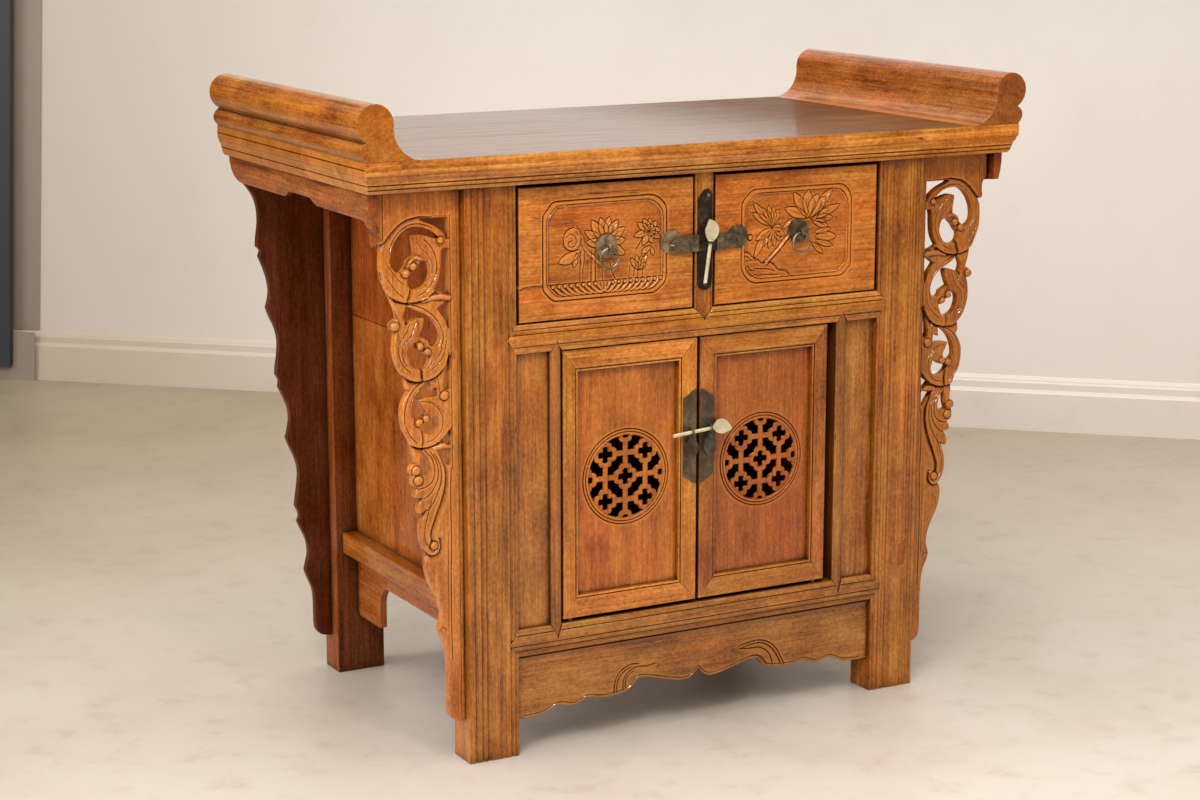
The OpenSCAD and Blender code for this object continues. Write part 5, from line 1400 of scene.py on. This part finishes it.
def level_normals(mesh):
    """Broad faces shade as flat as they are, and only the rounded edges shade round."""
    normals = [polygon.normal.copy() for polygon in mesh.polygons]
    areas = [polygon.area for polygon in mesh.polygons]
    around = {}
    for polygon in mesh.polygons:
        for vert in polygon.vertices:
            around.setdefault(vert, []).append(polygon.index)
    closest = math.cos(math.radians(SHADE_ROUND))
    corners = []
    for polygon in mesh.polygons:
        own = normals[polygon.index]
        for vert in polygon.vertices:
            total = Vector((0.0, 0.0, 0.0))
            for other in around[vert]:
                if normals[other].dot(own) > closest:
                    total += normals[other] * areas[other]
            corners.append(total.normalized() if total.length else own)
    mesh.normals_split_custom_set(corners)


def soften(node_name, width, grooves=()):
    """A copy of a CAD piece with rounded edges, which stands for that piece."""
    mesh = frame["nodes"][node_name].data.copy()
    bm = bmesh.new()
    bm.from_mesh(mesh)
    bmesh.ops.remove_doubles(bm, verts=bm.verts, dist=0.00002)
    bmesh.ops.dissolve_limit(bm, angle_limit=math.radians(0.6), verts=bm.verts, edges=bm.edges)
    size = width * MM
    sharp = {e for e in bm.edges if len(e.link_faces) == 2 and e.calc_face_angle(0.0) > math.radians(32)
             and e.calc_length() > size * 0.4}
    chosen = []
    for edge in sharp:
        beside = {other for f in edge.link_faces for other in f.edges
                  if other is not edge and set(other.verts) & set(edge.verts)}
        if all(other in sharp or other.calc_length() > size * 2.2 for other in beside):
            chosen.append(edge)
    bmesh.ops.bevel(bm, geom=chosen, offset=size, offset_type="OFFSET", segments=2, profile=0.55,
                    affect="EDGES", clamp_overlap=False)
    bm.normal_update()
    for look, sign, lines in grooves:
        scribe(bm, lines, look, sign)
    bm.to_mesh(mesh)
    bm.free()
    mesh.materials.clear()
    item = new_object("worn_" + node_name, mesh, MATERIALS[node_name], sharp=SHADE_ROUND)
    level_normals(mesh)
    stands_for(item, node_name)

# %% [markdown]
# ## Where the lines and the wear are
# The places follow the photograph. The real widths are too small to measure in it. A
# pixel of the render covers nearly 2 mm of the front, so the grooves are drawn 1.8 to 2.6
# mm wide, as coarse as they need to be to show.

# %% The grooves and edges of every board
def front_grooves(axis, wide, deep, *places):
    """Grooves on the front: upright ones for axis 0, level ones for axis 2."""
    return [(1, -1, [(axis, at, wide, deep) for at in places])]


def end_grooves(sign, *places):
    """Level grooves on the left end for -1 and on the right end for 1."""
    return [(0, sign, [(2, at, 2.2, 1.5) for at in places])]


GROOVES = {
    "mid_rail": front_grooves(2, 2.0, 1.2, 601.5, 595.5, 578.5),
    "bottom_rail": front_grooves(2, 2.2, 1.4, 173.0, 158.5, 151.0),
    "left_door_stiles": front_grooves(0, 2.6, 2.0, -201.8, -32.8),
    "right_door_stiles": front_grooves(0, 2.6, 2.0, 20.3, 189.3),
    "left_door_rails": front_grooves(2, 2.6, 2.0, 539.7, 213.3),
    "right_door_rails": front_grooves(2, 2.6, 2.0, 539.7, 213.3),
    "top_front_board": front_grooves(2, 2.4, 1.8, 824.5, 811.5, 805.5) + end_grooves(-1, 833.0, 824.5, 811.5),
    "top_middle_board": end_grooves(-1, 833.0, 824.5, 811.5),
    "top_back_board": end_grooves(-1, 833.0, 824.5, 811.5),
    "flange_left": end_grooves(-1, 868.5, 844.4),
    "flange_right": end_grooves(1, 868.5, 844.4),
    "front_post_left": front_grooves(0, 2.2, 1.5, -359.0, -349.0, -340.0, -304.5),
    "front_post_right": front_grooves(0, 2.0, 1.4, 365.0, 359.5, 349.0, 320.0, 307.5, 299.5),
    "drawer_divider": front_grooves(0, 1.8, 1.1, -11.5, 11.5),
    "side_panel_left": [(0, -1, [(2, 556.0, 1.8, 1.4)])],
    "side_panel_right": [(0, 1, [(2, 556.0, 1.8, 1.4)])],
}
CARVED = {"front_spandrel_left", "front_spandrel_right", "front_apron", "left_drawer_front",
          "right_drawer_front", "left_door_panel", "right_door_panel"}
BOARD_EDGE, METAL_EDGE = 0.9, 0.35
EDGE = {"front_post_left": 1.4, "front_post_right": 1.4, "back_leg_left": 1.6, "back_leg_right": 1.6,
        "side_rail_left": 1.6, "side_rail_right": 1.6, "back_spandrels": 1.6, "side_apron_left": 1.8,
        "side_apron_right": 1.8, "end_apron_left": 1.3, "end_apron_right": 1.3}
for node_name in WOODS:
    if node_name not in CARVED:
        soften(node_name, EDGE.get(node_name, BOARD_EDGE), GROOVES.get(node_name, ()))
for node_name in METALS:
    soften(node_name, METAL_EDGE)
print("softened", len(WOODS) - len(CARVED), "boards and", len(METALS), "metal pieces")

# %% [markdown]
# ## Two nail heads
# The drawer lock's plate is held by a nail above and one below. A hammered head is a low
# round cap that is never quite even, so it is a flattened ball with a little noise.

# %% Nails
def nail(name, x, z, face, body, material, r=2.6, high=1.1):
    """A worn nail head on a plate whose front lies at the given Y, all in mm."""
    mesh = bpy.data.meshes.new(name)
    bm = bmesh.new()
    bmesh.ops.create_uvsphere(bm, u_segments=24, v_segments=12, radius=1.0)
    for vert in bm.verts:
        bulge = 1 + 0.06 * noise.noise(vert.co * 2.0 + Vector((x, z, 0.0)))
        spot = (x + vert.co.x * r * bulge, face + vert.co.y * high, z + vert.co.z * r * bulge)
        vert.co = Vector(spot) * MM
    bm.to_mesh(mesh)
    bm.free()
    item = new_object(name, mesh, material)
    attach(item, body)


nail("lock_nail_top", 5.5, 766.5, -244.2, "carcass", METALS["right_drawer_plates"])
nail("lock_nail_bottom", 0.5, 642.5, -244.2, "carcass", METALS["right_drawer_plates"])

# %% [markdown]
# ## The camera
# The camera was solved from the cabinet's own square edges in the photograph: where it
# stands, how it is turned and how long its lens is. It leans down by 0.21 radians.

# %% Camera
camera = bpy.data.objects.new("camera", bpy.data.cameras.new("camera"))
bpy.context.scene.collection.objects.link(camera)
camera.location = (-1.8103, -3.0059 + FRONT * MM, 1.2241)
camera.rotation_euler = (math.pi / 2 - 0.21, 0.0, -0.5005)
camera.data.sensor_width = 36.0
camera.data.lens = 76.31
bpy.context.scene.camera = camera
print("camera at", [round(v, 3) for v in camera.location], "lens", camera.data.lens, "mm")

# %% [markdown]
# ## The studio's paint
# The floor and the wall are plain matt paint, with faint clouds where it was rolled
# unevenly. A flat grey would look like paper, so each paint runs slowly from one tone to
# another, and that run is painted light and shade: a pool of light on the front of the
# floor, shade to the left on the wall and the skirting, and a lighter wall near its foot.

# %% Paint
def painted(name, low, high, along, start, end, rough, stretch=(1.6, 1.6, 1.6), vary=0.06, foot=None):
    """A paint with faint clouds whose colour runs from one tone to another along a line, which paints light
    and shade on it. The lighter tone may be another one at the foot of a wall, painted light there."""
    material, tree = new_material(name)
    place = add_node(tree, "TexCoord", out="Object")
    run = add_node(tree, "VectorMath", {0: place, 1: along}, out="Value", operation="DOT_PRODUCT")
    cloud = stretched_noise(tree, place, stretch, 6.0, 0.62)
    small = stretched_noise(tree, place, tuple(7.0 * s for s in stretch), 5.0, 0.65)
    stray = add_node(tree, "Math", {0: cloud, 1: 0.5}, operation="SUBTRACT")
    run = add_node(tree, "Math", {0: stray, 1: 0.5 * (end - start), 2: run}, operation="MULTIPLY_ADD")
    height = add_node(tree, "SeparateXYZ", {0: place}, out=2)
    low_down = add_node(tree, "MapRange", {0: height, 1: 1.5, 2: 0.5}, **SOFT)
    bright = add_node(tree, "Mix", {0: low_down, 6: linear(high), 7: linear(foot or high)}, **OVER)
    share = add_node(tree, "MapRange", {0: run, 1: start, 2: end}, **SOFT)
    colour = add_node(tree, "Mix", {0: share, 6: linear(low), 7: bright}, **OVER)
    shade = tuple(1 - vary * k for k in (1.0, 1.15, 1.4)) + (1.0,)
    clouds = add_node(tree, "MapRange", {0: cloud, 1: 0.38, 2: 0.68}, **SOFT)
    colour = add_node(tree, "Mix", {0: clouds, 6: colour, 7: shade}, **TINT)
    spots = add_node(tree, "MapRange", {0: small, 1: 0.5, 2: 0.75, 4: 0.8}, **SOFT)
    colour = add_node(tree, "Mix", {0: spots, 6: colour, 7: shade}, **TINT)
    relief = add_node(tree, "Bump", {"Strength": 0.6, "Distance": 0.0006, "Height": small})
    paint = {"Base Color": colour, "Roughness": rough, "Normal": relief}
    shader = add_node(tree, "BsdfPrincipled", paint)
    add_node(tree, "OutputMaterial", {"Surface": shader}, out=None)
    return material

# %% [markdown]
# ## Floor, wall and skirting
# The wall stands behind the cabinet at a slant, with a moulded skirting board at its
# foot. At the far left it falls into shade, which is painted there as darker strips of
# wall and skirting, beside a dark leaning strip. All of this is stage: it is there for
# the picture and isn't part of the cabinet.

# %% Floor and wall
WALL_LEFT = Vector((-0.097, 2.635, 0.0))
WALL_RIGHT = Vector((1.889, 0.825, 0.0))
WALL_ALONG = (WALL_RIGHT - WALL_LEFT).normalized()
WALL_BACK = Vector((-WALL_ALONG.y, WALL_ALONG.x, 0.0))
WALL_ENDS = (-5.0, 7.0)  # metres along the wall
PLAIN = [(0, 1, 2, 3)]


def stage_mesh(name, corners, faces, material):
    mesh = bpy.data.meshes.new(name)
    mesh.from_pydata([tuple(c) for c in corners], [], faces)
    mesh.materials.append(material)
    item = bpy.data.objects.new(name, mesh)
    bpy.context.scene.collection.objects.link(item)
    print("stage:", name)


def on_wall(along, out, z):
    """A place so far along the wall, so far out from it and so high, in metres."""
    return WALL_LEFT + WALL_ALONG * along - WALL_BACK * out + Vector((0.0, 0.0, z))


def swept(name, profile, material):
    """A profile of (out from the wall, height) run along the whole wall."""
    rows = [on_wall(end, out, z) for end in WALL_ENDS for out, z in profile]
    n = len(profile)
    faces = [(k, k + 1, n + k + 1, n + k) for k in range(n - 1)]
    stage_mesh(name, rows, faces, material)


# Painted light: the floor runs from a darker tone at the back to a lighter pool at the front.
floor_paint = painted("floor_paint", "#A6977F", "#D8CDC0", (-0.078, -0.997, 0.0), -2.3, 1.2, rough=0.42,
                      stretch=(2.4, 2.4, 1.0), vary=0.16)
# Painted shade to the left along the wall, and painted light near its foot.
wall_paint = painted("wall_paint", "#C6BAAC", "#CBC6C0", tuple(WALL_ALONG), -1.9, -0.6, rough=0.7, vary=0.03,
                     foot="#E6DCD3")
# Painted shade to the left along the skirting.
skirt_paint = painted("skirt_paint", "#BBAA97", "#E4D8CC", tuple(WALL_ALONG), -1.9, -0.4, rough=0.5,
                      vary=0.05)
stage_mesh("floor", [(-7, -8, 0), (8, -8, 0), (8, 7, 0), (-7, 7, 0)], PLAIN, floor_paint)
swept("wall", [(0.0, 0.118), (0.0, 3.6)], wall_paint)
SKIRTING = [(0.016, 0.0), (0.016, 0.083), (0.013, 0.086), (0.010, 0.091), (0.010, 0.105), (0.007, 0.108),
            (0.006, 0.112), (0.002, 0.118), (0.0, 0.119)]
swept("skirting", SKIRTING, skirt_paint)
shaded = painted("shaded_paint", "#8C7D6E", "#988B7C", (0, 0, 1), 0.0, 1.2, rough=0.7, vary=0.03)
stage_mesh("wall_in_shade", [on_wall(-2.0, 0.004, 0.119), on_wall(-0.020, 0.004, 0.119),
                             on_wall(0.103, 0.004, 2.3), on_wall(-2.0, 0.004, 2.3)], PLAIN, shaded)
stage_mesh("skirting_in_shade", [on_wall(-2.0, 0.028, 0.0), on_wall(-0.026, 0.028, 0.0),
                                 on_wall(-0.020, 0.028, 0.118), on_wall(-2.0, 0.028, 0.118)], PLAIN, shaded)
slate = painted("slate_paint", "#2D2F32", "#37393C", (0, 0, 1), 0.0, 1.2, rough=0.5, vary=0.05)
stage_mesh("open_door", [on_wall(-5.0, 0.05, 0.036), on_wall(-0.080, 0.05, 0.036), on_wall(0.042, 0.05, 2.3),
                         on_wall(-5.0, 0.05, 2.3), on_wall(-0.080, 0.03, 0.036), on_wall(0.042, 0.03, 2.3)],
           PLAIN + [(1, 4, 5, 2)], slate)

# %% [markdown]
# ## Light
# The room has one large soft light from the front left, a smaller window that leaves a
# glint on the varnish, a lamp overhead and broad fill from above and from the left. The
# lamps are plain white, and the world adds a little light that is warmer towards the
# floor. The colours are drawn as written, so the view transform is Standard.

# %% Lights
def area_light(name, at, aim, size, power):
    """A rectangular lamp at one place that looks at another, in metres and watts."""
    data = bpy.data.lights.new(name, "AREA")
    data.shape = "RECTANGLE"
    data.size, data.size_y = size
    data.energy = power
    light = bpy.data.objects.new(name, data)
    light.location = at
    light.rotation_euler = (Vector(aim) - Vector(at)).to_track_quat("-Z", "Y").to_euler()
    bpy.context.scene.collection.objects.link(light)
    print("light:", name, power, "W")


area_light("key", (-1.9, -2.3, 3.0), (0.0, 0.0, 0.4), (1.1, 1.1), 58.0)
area_light("window", (-3.0, -2.0, 1.5), (0.0, -0.2, 0.5), (0.3, 0.7), 20.0)
area_light("ceiling_lamp", (-0.5, -1.7, 2.6), (0.0, -0.2, 0.5), (0.25, 0.25), 12.0)
area_light("over", (0.0, -0.2, 3.5), (0.0, 0.3, 0.0), (3.0, 2.6), 62.0)
area_light("left", (-3.4, 0.6, 1.9), (-0.3, 0.2, 0.4), (1.6, 1.8), 52.0)
world = bpy.data.worlds.new("room")
bpy.context.scene.world = world
world.use_nodes = True
tree = world.node_tree
upward = add_node(tree, "SeparateXYZ", {0: add_node(tree, "TexCoord", out="Generated")}, out=2)
upward = add_node(tree, "MapRange", {0: upward, 1: -0.1, 2: 0.7}, **SOFT)
room = add_node(tree, "Mix", {0: upward, 6: linear("#A39C93"), 7: linear("#FFFFFF")}, **OVER)
background = tree.nodes["Background"]
tree.links.new(room, background.inputs["Color"])
background.inputs["Strength"].default_value = 0.62
bpy.context.scene.view_settings.view_transform = "Standard"
